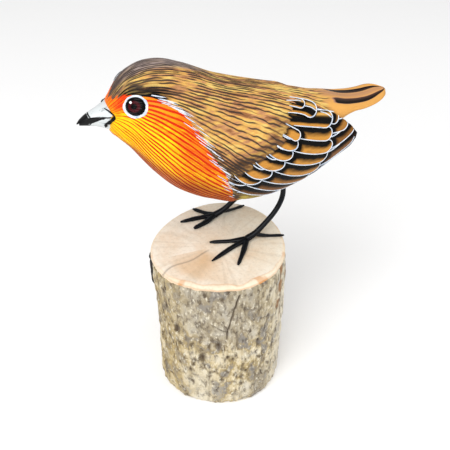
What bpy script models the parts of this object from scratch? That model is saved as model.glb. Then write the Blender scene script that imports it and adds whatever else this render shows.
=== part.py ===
"""Carved and painted wooden robin on bent wire legs, standing on a sawn length of log.

Metres, +Z up.  The origin is in the middle of the log's flat underside.  The beak
points along -X, the tail along +X, and the bird's left side faces -Y.
"""

import math

import bpy
import numpy as np

MM = 0.001
CUT_GAP = 0.3  # mm left between two neighbouring pieces

# ---- log -----------------------------------------------------------------
LOG_HEIGHT = 75.0
LOG_RADIUS = 29.24
LOG_SEGMENTS = 64
LOG_RIM = 0.7  # worn edge round both sawn faces
# height, centre x, centre y, share of the full radius
LOG_LEVELS = (
    (0.0, 1.0, 1.5, 0.95),
    (LOG_RIM, 1.0, 1.5, 0.97),
    (14.0, 1.3, 1.7, 0.980),
    (37.0, 1.9, 2.0, 0.995),
    (60.0, 1.5, 2.3, 1.005),
    (LOG_HEIGHT - LOG_RIM, 1.0, 2.5, 1.0),
    (LOG_HEIGHT, 1.0, 2.5, 0.978),
)
FLAKE_ANGLES = (150.0, 170.0)
FLAKE_HEIGHTS = (58.0, 73.5)
FLAKE_THICK = 0.9

# ---- body ----------------------------------------------------------------
BIRD_Y = 11.7  # the bird's middle plane
RING = 32
# x, back z, belly z, half width
BODY = (
    (-40.5, 145.5, 141.0, 2.3),
    (-39.5, 148.5, 138.0, 5.3),
    (-37.0, 152.3, 134.7, 8.7),
    (-33.0, 157.3, 130.0, 12.4),
    (-27.0, 160.5, 121.0, 17.7),
    (-18.0, 161.0, 110.2, 22.9),
    (-8.0, 157.7, 103.0, 24.5),
    (4.0, 151.6, 97.6, 24.4),
    (16.0, 147.2, 97.0, 22.6),
    (28.0, 143.3, 99.0, 19.5),
    (38.0, 140.0, 105.5, 16.2),
    (46.0, 137.5, 114.5, 12.8),
    (52.0, 136.0, 122.5, 10.9),
    (60.0, 134.3, 128.6, 10.0),
    (70.0, 133.5, 130.6, 8.9),
    (73.0, 133.4, 130.9, 8.3),
    (75.4, 133.5, 131.1, 6.6),
    (77.4, 133.6, 131.3, 4.0),
    (78.8, 133.6, 131.6, 1.2),
)
NECK_X = -14.0
RUMP_X = 52.0
HEAD_RINGS = 14
TRUNK_RINGS = 19
TAIL_RINGS = 12

# ---- wings ---------------------------------------------------------------
# x, half width, middle z, half height, upper edge angle, lower edge angle
WING = (
    (-9.0, 24.8, 131.0, 27.5, 14.0, -12.0),
    (-4.0, 24.9, 128.6, 27.4, 40.0, -34.0),
    (4.0, 24.8, 124.7, 27.3, 55.0, -47.0),
    (16.0, 23.5, 122.0, 25.5, 62.0, -58.0),
    (28.0, 22.0, 120.8, 22.8, 60.0, -61.0),
    (38.0, 20.0, 120.8, 20.4, 55.0, -60.0),
    (46.0, 18.0, 121.6, 17.4, 50.0, -58.0),
    (52.0, 16.6, 122.8, 15.0, 37.0, -54.0),
    (56.5, 15.7, 123.9, 13.4, 17.0, -42.0),
    (59.5, 15.1, 124.6, 12.4, -4.0, -16.0),
)
WING_THICK = 1.5
WING_ROWS = 19
WING_COLUMNS = 11

# ---- beak ----------------------------------------------------------------
# x, middle z, half height, half width
BEAK = (
    (-51.0, 141.8, 0.5, 0.5),
    (-50.0, 141.9, 1.1, 1.0),
    (-47.5, 142.3, 2.2, 2.0),
    (-44.0, 142.7, 3.3, 3.1),
    (-40.0, 142.5, 4.0, 4.4),
    (-37.2, 142.6, 4.4, 5.2),
)
BEAK_RINGS = 8
BEAK_RING = 10  # points round each half

# ---- eyes ----------------------------------------------------------------
EYE_X = -31.1
EYE_ANGLE = 33.8
EYE_RADIUS = 3.7
EYE_SUNK = 2.4

# ---- legs and feet -------------------------------------------------------
WIRE_RADIUS = 1.0
WIRE_RING = 8
KNOT_STEPS = 3  # points between two knots of a leg
LEG_LEFT = (
    (13.6, 1.3, 76.9),
    (18.0, 1.5, 78.9),
    (24.5, 2.2, 84.7),
    (27.5, 2.8, 87.9),
    (29.5, 3.4, 90.8),
    (30.8, 4.0, 93.9),
    (31.2, 4.5, 97.2),
    (31.2, 5.0, 101.5),
    (31.0, 5.3, 107.0),
)
LEG_RIGHT = (
    (5.9, 22.0, 76.9),
    (10.2, 21.6, 79.1),
    (14.8, 21.4, 83.1),
    (18.4, 20.8, 86.6),
    (20.9, 20.2, 90.2),
    (22.1, 19.6, 93.6),
    (22.5, 19.1, 97.4),
    (22.5, 18.6, 102.0),
    (22.4, 18.3, 107.0),
)
TOE_LIFT = 0.35  # clearance between a toe and the sawn face
# toe tips on the log, and the radius at each tip
TOES_LEFT = (
    ((-2.3, 5.8), 0.75),
    ((-5.4, -6.2), 0.80),
    ((4.2, -12.3), 0.80),
    ((30.4, -0.9), 0.60),
)
TOES_RIGHT = (
    ((-1.9, 31.0), 0.75),
    ((-10.2, 23.6), 0.85),
    ((-5.8, 16.9), 1.15),
    ((21.6, 25.5), 0.60),
)
TOE_ROOT_RADIUS = 1.25
TOE_STEPS = 7

COLOURS = {
    "log": (0.62, 0.52, 0.38),
    "bark_flake": (0.03, 0.025, 0.02),
    "head": (0.75, 0.20, 0.03),
    "trunk": (0.55, 0.36, 0.12),
    "tail": (0.62, 0.35, 0.10),
    "wing": (0.30, 0.17, 0.06),
    "beak": (0.10, 0.10, 0.10),
    "eye": (0.02, 0.01, 0.01),
    "leg": (0.01, 0.012, 0.018),
    "foot": (0.01, 0.012, 0.018),
}


def spline(stations, column, x):
    """Value of one column of the stations at x, through a smooth cubic."""
    xs = np.array([row[0] for row in stations])
    ys = np.array([row[column] for row in stations])
    x = np.clip(x, xs[0], xs[-1])
    step = np.diff(xs)
    slope = np.diff(ys) / step
    tangent = np.concatenate([slope[:1], slope, slope[-1:]])
    tangent = (tangent[:-1] + tangent[1:]) / 2
    tangent[1:-1] = slope[:-1] * step[1:] + slope[1:] * step[:-1]
    tangent[1:-1] /= step[1:] + step[:-1]
    i = int(np.clip(np.searchsorted(xs, x) - 1, 0, len(xs) - 2))
    t = (x - xs[i]) / step[i]
    rise = ys[i] + (ys[i + 1] - ys[i]) * (3 * t**2 - 2 * t**3)
    bend = tangent[i] * (t**3 - 2 * t**2 + t) + tangent[i + 1] * (t**3 - t**2)
    return float(rise + bend * step[i])


def material_for(name):
    """Own Principled material for one node."""
    kind = name.replace("_left", "").replace("_right", "")
    kind = kind.replace("_upper", "").replace("_lower", "")
    made = bpy.data.materials.new(name + "_paint")
    made.use_nodes = True
    shader = made.node_tree.nodes["Principled BSDF"]
    shader.inputs["Base Color"].default_value = (*COLOURS[kind], 1.0)
    shader.inputs["Roughness"].default_value = 0.5
    made.diffuse_color = (*COLOURS[kind], 1.0)
    return made


def outward(points, faces):
    """The faces, all reversed if together they enclose a negative volume."""
    volume = 0.0
    for face in faces:
        for i in range(1, len(face) - 1):
            edges = np.cross(points[face[i]], points[face[i + 1]])
            volume += float(np.dot(points[face[0]], edges))
    return faces if volume > 0 else [tuple(reversed(face)) for face in faces]


def solid(name, points, faces, helper=False):
    """Object from points in millimetres; a helper is a cutter and isn't rendered."""
    mesh = bpy.data.meshes.new(name)
    points = np.array(points, float)
    mesh.from_pydata((points * MM).tolist(), [], outward(points, faces))
    mesh.validate()
    made = bpy.data.objects.new(name, mesh)
    bpy.context.scene.collection.objects.link(made)
    if helper:
        made.hide_render = True
        made.display_type = "WIRE"
    else:
        mesh.materials.append(material_for(name))
    mesh.shade_smooth()
    return made


def loft(name, rings, helper=False):
    """Closed tube through rings of equal length, both ends capped flat."""
    count = len(rings[0])
    points = [p for ring in rings for p in ring]
    faces = []
    for r in range(len(rings) - 1):
        for k in range(count):
            a = r * count + k
            b = r * count + (k + 1) % count
            faces.append((a, b, b + count, a + count))
    faces.append(tuple(reversed(range(count))))
    last = (len(rings) - 1) * count
    faces.append(tuple(range(last, last + count)))
    return solid(name, points, faces, helper)


def boolean(target, other, operation):
    """Cut or join with the exact solver."""
    step = target.modifiers.new(operation.lower(), "BOOLEAN")
    step.operation = operation
    step.solver = "EXACT"
    step.object = other


def body_point(x, angle, grow=0.0):
    """Point on the carved body; the angle runs from the left side up over the back."""
    top = spline(BODY, 1, x)
    low = spline(BODY, 2, x)
    half = spline(BODY, 3, x) + grow
    tall = (top - low) / 2 + grow
    return (x, BIRD_Y - half * math.cos(angle), (top + low) / 2 + tall * math.sin(angle))


def body_ring(x):
    """One cross-section of the body."""
    return [body_point(x, 2 * math.pi * k / RING) for k in range(RING)]


def body_length(name, start, end, count):
    """A length of the body between two cross cuts."""
    xs = [start + (end - start) * k / (count - 1) for k in range(count)]
    return loft(name, [body_ring(x) for x in xs])


def head():
    """Head and throat; the rings crowd together towards the beak."""
    start = BODY[0][0]
    span = NECK_X - CUT_GAP / 2 - start
    xs = [start + span * (k / (HEAD_RINGS - 1)) ** 1.7 for k in range(HEAD_RINGS)]
    return loft("head", [body_ring(x) for x in xs])


def wing_point(x, angle, inward):
    """Point under the wing's outer face, moved towards the bird's middle line."""
    half = spline(WING, 1, x) - inward
    tall = spline(WING, 3, x) - inward
    return (
        x,
        BIRD_Y - half * math.cos(angle),
        spline(WING, 2, x) + tall * math.sin(angle),
    )


def wing(name, side, grow=0.0, helper=False):
    """Curved plate; side is 1 for the bird's left wing and -1 for its right."""
    start, end = WING[0][0] - grow, WING[-1][0] + grow
    outer, inner = [], []
    for r in range(WING_ROWS):
        x = start + (end - start) * r / (WING_ROWS - 1)
        spare = math.degrees(grow / spline(WING, 1, x))
        high = math.radians(spline(WING, 4, x) + spare)
        low = math.radians(spline(WING, 5, x) - spare)
        for k in range(WING_COLUMNS):
            angle = low + (high - low) * k / (WING_COLUMNS - 1)
            out = wing_point(x, angle, -3 * grow)
            deep = wing_point(x, angle, WING_THICK + grow)
            outer.append((out[0], BIRD_Y + side * (out[1] - BIRD_Y), out[2]))
            inner.append((deep[0], BIRD_Y + side * (deep[1] - BIRD_Y), deep[2]))
    n = WING_COLUMNS
    back = len(outer)
    faces = []
    for r in range(WING_ROWS - 1):
        for k in range(n - 1):
            a = r * n + k
            faces.append((a, a + n, a + n + 1, a + 1))
            faces.append((back + a, back + a + 1, back + a + n + 1, back + a + n))
    for r in range(WING_ROWS - 1):
        a = r * n
        b = a + n - 1
        faces.append((a, back + a, back + a + n, a + n))
        faces.append((b, b + n, back + b + n, back + b))
    for k in range(n - 1):
        b = (WING_ROWS - 1) * n + k
        faces.append((k, k + 1, back + k + 1, back + k))
        faces.append((b, back + b, back + b + 1, b + 1))
    return solid(name, outer + inner, faces, helper)


def beak_ring(x, angles, grow, split):
    """Cross-section of the beak or, with a split, of one half of it."""
    half = spline(BEAK, 3, x) + grow
    tall = spline(BEAK, 2, x) + grow
    middle = spline(BEAK, 1, x)
    return [
        (x, BIRD_Y - half * math.cos(a), middle + split + (tall - abs(split)) * math.sin(a))
        for a in angles
    ]


def beak(name, sign):
    """One half of the beak: sign is 1 for the upper half and -1 for the lower."""
    angles = [sign * math.pi * k / (BEAK_RING - 1) for k in range(BEAK_RING)]
    start, end = BEAK[0][0], BEAK[-1][0]
    xs = [start + (end - start) * k / (BEAK_RINGS - 1) for k in range(BEAK_RINGS)]
    split = sign * CUT_GAP / 2
    return loft(name, [beak_ring(x, angles, 0.0, split) for x in xs])


def beak_pocket():
    """Cutter that clears the beak's root out of the head."""
    angles = [2 * math.pi * k / 20 for k in range(20)]
    xs = (-46.0, -43.0, -40.0, -38.0, BEAK[-1][0] + CUT_GAP)
    rings = [beak_ring(x, angles, CUT_GAP, 0.0) for x in xs]
    return loft("beak_pocket", rings, helper=True)


def ball(name, centre, radius, helper=False, around=14, levels=8):
    """Sphere with closed poles."""
    points = [(centre[0], centre[1], centre[2] - radius)]
    for r in range(1, levels):
        tilt = math.pi * r / levels - math.pi / 2
        for k in range(around):
            turn = 2 * math.pi * k / around
            points.append(
                (
                    centre[0] + radius * math.cos(tilt) * math.cos(turn),
                    centre[1] + radius * math.cos(tilt) * math.sin(turn),
                    centre[2] + radius * math.sin(tilt),
                )
            )
    points.append((centre[0], centre[1], centre[2] + radius))
    top = len(points) - 1
    faces = []
    for k in range(around):
        after = (k + 1) % around
        faces.append((0, 1 + after, 1 + k))
        last = 1 + (levels - 2) * around
        faces.append((top, last + k, last + after))
        for r in range(levels - 2):
            a = 1 + r * around
            faces.append((a + k, a + after, a + around + after, a + around + k))
    return solid(name, points, faces, helper)


def eye_centre(side):
    """Centre of the glass bead, sunk square to the side of the head."""
    angle = math.radians(EYE_ANGLE)
    here = np.array(body_point(EYE_X, angle))
    along = np.array(body_point(EYE_X + 1.0, angle)) - here
    around = np.array(body_point(EYE_X, angle + 0.05)) - here
    outward = np.cross(along, around)
    outward /= np.linalg.norm(outward)
    if outward[1] > 0:
        outward = -outward
    centre = here - outward * EYE_SUNK
    return (centre[0], BIRD_Y + side * (centre[1] - BIRD_Y), centre[2])


def smooth_path(knots, count):
    """Evenly stepped points on a cubic through the knots."""
    knots = [np.array(k, float) for k in knots]
    ends = [2 * knots[0] - knots[1], *knots, 2 * knots[-1] - knots[-2]]
    path = []
    for s in range(count):
        place = (len(knots) - 1) * s / (count - 1)
        i = min(int(place), len(knots) - 2)
        t = place - i
        a, b, c, d = ends[i : i + 4]
        path.append(
            0.5
            * (
                2 * b
                + (c - a) * t
                + (2 * a - 5 * b + 4 * c - d) * t**2
                + (3 * b - a - 3 * c + d) * t**3
            )
        )
    return path


def tube(name, path, radii, flat=1.0, helper=False, ring=WIRE_RING):
    """Round rod along a path; flat below 1 squeezes it towards the ground."""
    rings = []
    for i, centre in enumerate(path):
        ahead = path[min(i + 1, len(path) - 1)] - path[max(i - 1, 0)]
        ahead = ahead / np.linalg.norm(ahead)
        aside = np.cross(ahead, (0.31, 0.95, 0.0) if abs(ahead[2]) > 0.4 else (0.0, 0.0, 1.0))
        aside /= np.linalg.norm(aside)
        up = np.cross(aside, ahead)
        ring_points = []
        for k in range(ring):
            turn = 2 * math.pi * k / ring
            shift = aside * math.cos(turn) + up * math.sin(turn) * flat
            ring_points.append(tuple(centre + shift * radii[i]))
        rings.append(ring_points)
    return loft(name, rings, helper)


def leg(name, knots, helper=False, grow=0.0):
    """Bent wire from just above the ankle up into the belly."""
    path = smooth_path(knots, KNOT_STEPS * (len(knots) - 1) + 1)[KNOT_STEPS:]
    path[0] = path[0] + (path[1] - path[0]) * 0.25
    radii = [WIRE_RADIUS + grow] * len(path)
    return tube(name, path, radii, helper=helper)


def foot(name, knots, toes):
    """Ankle wire and four tapered toes joined at the knuckle."""
    path = smooth_path(knots[:3], 2 * KNOT_STEPS + 1)[: KNOT_STEPS + 1]
    radii = [1.5 - 0.12 * i for i in range(len(path))]
    made = tube(name, path, radii)
    root = np.array(knots[0])
    knuckle = ball(name + "_knuckle", tuple(root - (0.0, 0.0, 0.1)), 1.5, helper=True)
    boolean(made, knuckle, "UNION")
    for i, (tip, tip_radius) in enumerate(toes):
        behind = tip[0] > root[0]
        start = path[-1] - (1.8, 0.0, 1.5) if behind else root - (0.4, 0.0, 0.0)
        root_radius = TOE_ROOT_RADIUS * (0.8 if behind else 1.0)
        end = np.array((*tip, LOG_HEIGHT + TOE_LIFT + tip_radius * 0.8))
        middle = start * 0.55 + end * 0.45
        middle[2] = LOG_HEIGHT + TOE_LIFT + 1.05
        track = smooth_path([start, middle, end], TOE_STEPS)
        widths = [
            root_radius + (tip_radius - root_radius) * k / (TOE_STEPS - 1)
            for k in range(TOE_STEPS)
        ]
        toe = tube(f"{name}_toe_{i + 1}", track, widths, 0.8, helper=True)
        boolean(made, toe, "UNION")
    return made


def log_outline(angle, level, extra=0.0):
    """Point on the log's slightly lopsided outline at one level."""
    height, cx, cy, share = level
    radius = LOG_RADIUS + 0.23 * math.cos(angle) + 0.59 * math.sin(angle)
    radius += 0.21 * math.cos(2 * angle) + 0.51 * math.sin(2 * angle)
    radius -= 0.89 * math.cos(3 * angle)
    radius = radius * share + extra
    return (cx + radius * math.cos(angle), cy + radius * math.sin(angle), height)


def log():
    """Sawn length of a small trunk."""
    turn = 2 * math.pi / LOG_SEGMENTS
    rings = [
        [log_outline(turn * k, level) for k in range(LOG_SEGMENTS)] for level in LOG_LEVELS
    ]
    return loft("log", rings)


def bark_flake():
    """Thin remnant of dark bark left on the log's side."""
    low, high = FLAKE_HEIGHTS
    turns = np.radians(np.linspace(*FLAKE_ANGLES, 7))
    centre = (1.35, 2.4)
    base = [(low, *centre, 1.008), (high, *centre, 1.004)]
    rings = []
    for angle in turns:
        ring = []
        for level, extra in (
            (base[0], CUT_GAP),
            (base[1], CUT_GAP),
            (base[1], CUT_GAP + FLAKE_THICK),
            (base[0], CUT_GAP + FLAKE_THICK),
        ):
            ring.append(log_outline(float(angle), level, extra))
        rings.append(ring)
    return loft("bark_flake", rings)


def clear_scene():
    """Empty the startup scene."""
    for old in list(bpy.data.objects):
        bpy.data.objects.remove(old, do_unlink=True)


def build():
    """Every piece of the ornament."""
    clear_scene()
    log()
    bark_flake()

    skull = head()
    trunk = body_length("trunk", NECK_X + CUT_GAP / 2, RUMP_X - CUT_GAP / 2, TRUNK_RINGS)
    body_length("tail", RUMP_X + CUT_GAP / 2, BODY[-1][0], TAIL_RINGS)

    for label, side in (("left", 1), ("right", -1)):
        wing("wing_" + label, side)
        room = wing("wing_room_" + label, side, CUT_GAP, helper=True)
        boolean(skull, room, "DIFFERENCE")
        boolean(trunk, room, "DIFFERENCE")
        centre = eye_centre(side)
        ball("eye_" + label, centre, EYE_RADIUS)
        socket = ball("socket_" + label, centre, EYE_RADIUS + CUT_GAP, helper=True)
        boolean(skull, socket, "DIFFERENCE")

    beak("beak_upper", 1)
    beak("beak_lower", -1)
    boolean(skull, beak_pocket(), "DIFFERENCE")

    for label, knots, toes in (
        ("left", LEG_LEFT, TOES_LEFT),
        ("right", LEG_RIGHT, TOES_RIGHT),
    ):
        leg("leg_" + label, knots)
        higher = [*knots[:-1], (knots[-1][0], knots[-1][1], knots[-1][2] + CUT_GAP)]
        hole = leg("leg_hole_" + label, higher, helper=True, grow=CUT_GAP)
        boolean(trunk, hole, "DIFFERENCE")
        foot("foot_" + label, knots, toes)


build()
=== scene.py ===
"""Looks of a hand-carved, hand-painted wooden robin on bent wire legs and a sawn log.

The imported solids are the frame.  One carved skin stands for head, trunk and tail, a
feathered shell for each wing, and the log gets a stripped, weathered side and a sawn face.
Lengths in this file are millimetres until a mesh is made.
"""

import itertools
import logging
import math
from dataclasses import dataclass, field
from enum import Enum

import bpy
import numpy as np
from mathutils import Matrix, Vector
from mathutils.bvhtree import BVHTree


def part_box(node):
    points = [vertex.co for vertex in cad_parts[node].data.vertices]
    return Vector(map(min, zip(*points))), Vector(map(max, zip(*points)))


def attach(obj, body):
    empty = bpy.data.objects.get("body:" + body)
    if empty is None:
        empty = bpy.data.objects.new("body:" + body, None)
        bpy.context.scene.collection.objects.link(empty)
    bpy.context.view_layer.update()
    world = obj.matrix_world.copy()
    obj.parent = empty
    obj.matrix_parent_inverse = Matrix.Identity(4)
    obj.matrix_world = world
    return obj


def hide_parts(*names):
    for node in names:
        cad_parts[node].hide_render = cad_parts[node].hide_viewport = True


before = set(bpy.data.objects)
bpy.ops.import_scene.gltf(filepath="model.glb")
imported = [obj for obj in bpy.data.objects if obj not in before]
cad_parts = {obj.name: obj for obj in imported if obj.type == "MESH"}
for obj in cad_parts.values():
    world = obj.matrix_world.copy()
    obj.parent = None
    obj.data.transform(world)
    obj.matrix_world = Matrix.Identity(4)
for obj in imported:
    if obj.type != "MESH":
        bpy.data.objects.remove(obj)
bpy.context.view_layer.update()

MM = 0.001
BODY = "root"
log = logging.getLogger("robin")
Array = np.ndarray
Piece = bpy.types.Object
Socket = bpy.types.NodeSocket


class Side(Enum):
    """Which side of the bird a piece is on; the value turns left into right."""

    LEFT = 1
    RIGHT = -1


# ---------------------------------------------------------------- numbers


def ease(low: float, high: float, value: Array) -> Array:
    """Ease from 0 at low to 1 at high."""
    t = np.clip((value - low) / (high - low), 0.0, 1.0)
    return t * t * (3.0 - 2.0 * t)


def bump(centre: float, width: float, value: Array) -> Array:
    """Bell that is 1 at the centre."""
    return np.exp(-(((value - centre) / width) ** 2))


def spline(stations: Array, column: int, x: Array) -> Array:
    """Read one column of a station table through a smooth cubic.

    Args:
        stations: rows of x followed by the values at that x.
        column: which value to read.
        x: where to read it.

    Returns:
        The value at each x.
    """
    xs, ys = stations[:, 0], stations[:, column]
    x = np.clip(x, xs[0], xs[-1])
    step = np.diff(xs)
    slope = np.diff(ys) / step
    tangent = np.concatenate([slope[:1], slope])
    tangent[1:-1] = (slope[:-1] * step[1:] + slope[1:] * step[:-1]) / (step[1:] + step[:-1])
    i = np.clip(np.searchsorted(xs, x) - 1, 0, len(xs) - 2)
    t = (x - xs[i]) / step[i]
    rise = ys[i] + (ys[i + 1] - ys[i]) * (3 * t**2 - 2 * t**3)
    bend = tangent[i] * (t**3 - 2 * t**2 + t) + tangent[i + 1] * (t**3 - t**2)
    return rise + bend * step[i]


def hashed(cells: Array, seed: int) -> Array:
    """Repeatable random value from 0 to 1 for each integer cell."""
    mixed = np.full(cells.shape[:-1], seed * 7919 + 17, dtype=np.uint64)
    for axis in range(cells.shape[-1]):
        mixed = (mixed ^ cells[..., axis].astype(np.uint64)) * np.uint64(0x9E3779B97F4A7C15)
        mixed ^= mixed >> np.uint64(29)
    return (mixed & np.uint64(0xFFFFFF)).astype(float) / 0xFFFFFF


def noise(points: Array, seed: int, wrap: int = 0) -> Array:
    """Smooth random field with one unit per cell.

    Args:
        points: coordinates, one row each.
        seed: which field.
        wrap: number of cells after which the first coordinate repeats, or 0.

    Returns:
        Values from 0 to 1.
    """
    base = np.floor(points).astype(np.int64)
    part = points - base
    part = part * part * (3 - 2 * part)
    total = np.zeros(points.shape[:-1])
    for corner in itertools.product((0, 1), repeat=points.shape[-1]):
        cell = base + np.array(corner)
        if wrap:
            cell[..., 0] %= wrap
        weight = np.prod(np.where(np.array(corner) == 1, part, 1 - part), axis=-1)
        total += weight * hashed(cell, seed)
    return total


# ---------------------------------------------------------------- meshes


def mesh_object(name: str, points: Array, faces: list[tuple[int, ...]], smooth: bool = True) -> Piece:
    """Make an object from points in millimetres, with its faces turned outwards.

    Args:
        name: object name.
        points: one row of x, y, z each.
        faces: corner indices.
        smooth: shade the faces smooth.

    Returns:
        The linked object, sitting at the origin.
    """
    mesh = bpy.data.meshes.new(name)
    mesh.from_pydata((np.asarray(points) * MM).tolist(), [], faces)
    mesh.validate()
    corners = np.array([v.co for v in mesh.vertices])
    mesh.calc_loop_triangles()
    tris = np.empty(len(mesh.loop_triangles) * 3, np.int32)
    mesh.loop_triangles.foreach_get("vertices", tris)
    a, b, c = (corners[tris.reshape(-1, 3)[:, k]] for k in range(3))
    if np.einsum("ij,ij->i", a, np.cross(b, c)).sum() < 0:
        mesh.flip_normals()
    if smooth:
        mesh.shade_smooth()
    made = bpy.data.objects.new(name, mesh)
    bpy.context.scene.collection.objects.link(made)
    return made


def grid_faces(rows: int, columns: int, closed: bool) -> list[tuple[int, ...]]:
    """Quads of a grid stored row by row; closed joins the last column to the first."""
    reach = columns if closed else columns - 1
    r, c = np.meshgrid(np.arange(rows - 1), np.arange(reach), indexing="ij")
    after = (c + 1) % columns
    quads = np.stack([r * columns + c, r * columns + after, (r + 1) * columns + after, (r + 1) * columns + c], -1)
    return [tuple(q) for q in quads.reshape(-1, 4).tolist()]


def paint(piece: Piece, name: str, values: Array) -> None:
    """Store one number for each vertex under a name that a material reads."""
    layer = piece.data.attributes.new(name, "FLOAT", "POINT")
    layer.data.foreach_set("value", np.ascontiguousarray(values, np.float32).ravel())


def face_map(piece: Piece, name: str, flat: Array, wrap: float = 0.0) -> None:
    """Give the piece a named unwrapping, one u, v pair for each vertex.

    Args:
        piece: the mesh.
        name: name of the map.
        flat: u and v of each vertex.
        wrap: how far u runs before it starts again, so that faces over the seam stay whole; or 0.
    """
    layer = piece.data.uv_layers.new(name=name)
    corner = np.empty(len(piece.data.loops), np.int32)
    piece.data.loops.foreach_get("vertex_index", corner)
    spread = np.array(flat, float)[corner]
    if wrap:
        starts, sizes = (np.empty(len(piece.data.polygons), np.int32) for _ in range(2))
        piece.data.polygons.foreach_get("loop_start", starts)
        piece.data.polygons.foreach_get("loop_total", sizes)
        top = np.repeat(np.maximum.reduceat(spread[:, 0], starts), sizes)
        spread[:, 0] += wrap * (spread[:, 0] < top - wrap / 2)
    layer.data.foreach_set("uv", np.ascontiguousarray(spread, np.float32).ravel())


def lay(surface: BVHTree, guess: Array, outward: Array, lift: float) -> Array:
    """Drop a point on a surface along a direction, then raise it a little."""
    hit = surface.ray_cast(Vector((guess + outward * 8.0) * MM), Vector(-outward))[0]
    return (np.array(hit) / MM if hit else guess) + outward * lift


def tube(name: str, path: Array, radii: Array, ring: int = 16, flat: float = 1.0) -> Piece:
    """Sweep a closed rod along a path.

    Args:
        name: object name.
        path: centre points in order.
        radii: radius at each point.
        ring: points round the rod.
        flat: height of the section as a share of its width.

    Returns:
        The rod, with rounded ends.
    """
    ahead = np.gradient(path, axis=0)
    ahead /= np.linalg.norm(ahead, axis=1)[:, None]
    aside = np.cross(ahead, (0.0, 0.0, 1.0))
    weak = np.linalg.norm(aside, axis=1) < 0.35
    aside[weak] = np.cross(ahead[weak], (0.3, 0.95, 0.0))
    for i in range(1, len(aside)):
        if np.dot(aside[i], aside[i - 1]) < 0:
            aside[i] *= -1
    aside /= np.linalg.norm(aside, axis=1)[:, None]
    up = np.cross(aside, ahead)
    turn = np.linspace(0, 2 * math.pi, ring, endpoint=False)
    around = aside[:, None] * np.cos(turn)[None, :, None] + up[:, None] * np.sin(turn)[None, :, None] * flat
    rings = path[:, None] + around * radii[:, None, None]
    points = np.concatenate([rings.reshape(-1, 3), [path[0] - ahead[0] * radii[0] * 0.35],
        [path[-1] + ahead[-1] * radii[-1] * 0.35]])
    faces = grid_faces(len(path), ring, True)
    first, last = len(points) - 2, len(points) - 1
    start = (len(path) - 1) * ring
    for k in range(ring):
        faces.append((first, (k + 1) % ring, k))
        faces.append((last, start + k, start + (k + 1) % ring))
    return mesh_object(name, points, faces)


def through(knots: list[tuple[float, ...]], count: int) -> Array:
    """Evenly stepped points on a smooth curve through the knots."""
    known = np.array(knots, float)
    ends = np.concatenate([[2 * known[0] - known[1]], known, [2 * known[-1] - known[-2]]])
    place = np.linspace(0, len(known) - 1, count)
    i = np.minimum(place.astype(int), len(known) - 2)
    t = (place - i)[:, None]
    a, b, c, d = (ends[i + k] for k in range(4))
    return 0.5 * (2 * b + (c - a) * t + (2 * a - 5 * b + 4 * c - d) * t**2 + (3 * b - a - 3 * c + d) * t**3)


# ---------------------------------------------------------------- finishes


MATH, MIX, RANGE = "ShaderNodeMath", "ShaderNodeMix", "ShaderNodeMapRange"
RAMP, NOISE = "ShaderNodeValToRGB", "ShaderNodeTexNoise"
RGBA = "RGBA"


def linear(hexa: str) -> tuple[float, float, float, float]:
    """Turn an sRGB hex colour into the linear colour that a shader takes."""
    parts = [int(hexa[i : i + 2], 16) / 255 for i in (1, 3, 5)]
    return (*[p / 12.92 if p <= 0.04045 else ((p + 0.055) / 1.055) ** 2.4 for p in parts], 1.0)


def add(tree: bpy.types.NodeTree, kind: str, inputs: dict | list, out: int | str = 0, **settings: object) -> Socket:
    """Add one node with its settings and links.

    Args:
        tree: where it goes.
        kind: node type name, or in capitals the operation of a math node.
        inputs: for each input, by name or in order, the socket that feeds it, a value, a hex
            colour, or @ and the name of a painted vertex attribute.
        out: which output to hand back.
        settings: the node's own properties; stops gives a colour ramp its places and colours.

    Returns:
        The chosen output.
    """
    node = tree.nodes.new(MATH if kind.isupper() else kind)
    if kind.isupper():
        node.operation = kind
    stops = settings.pop("stops", None)
    for key, value in settings.items():
        setattr(node, key, value)
    if stops:
        band = node.color_ramp.elements
        while len(band) < len(stops):
            band.new(0.5)
        for mark, (where, hexa) in zip(band, stops):
            mark.position = where
            mark.color = linear(hexa)
    for key, value in inputs.items() if isinstance(inputs, dict) else enumerate(inputs):
        if isinstance(value, str) and value[0] == "@":
            value = add(tree, "ShaderNodeAttribute", {}, "Fac", attribute_name=value[1:])
        if isinstance(value, Socket):
            tree.links.new(value, node.inputs[key])
        else:
            node.inputs[key].default_value = linear(value) if isinstance(value, str) and value[0] == "#" else value
    return node.outputs[out]


@dataclass(frozen=True)
class Varnish:
    """Top coat of a finish: how it takes the light."""

    roughness: float = 0.45
    specular: float = 0.5
    coat: float = 0.0
    coat_roughness: float = 0.1


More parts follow.
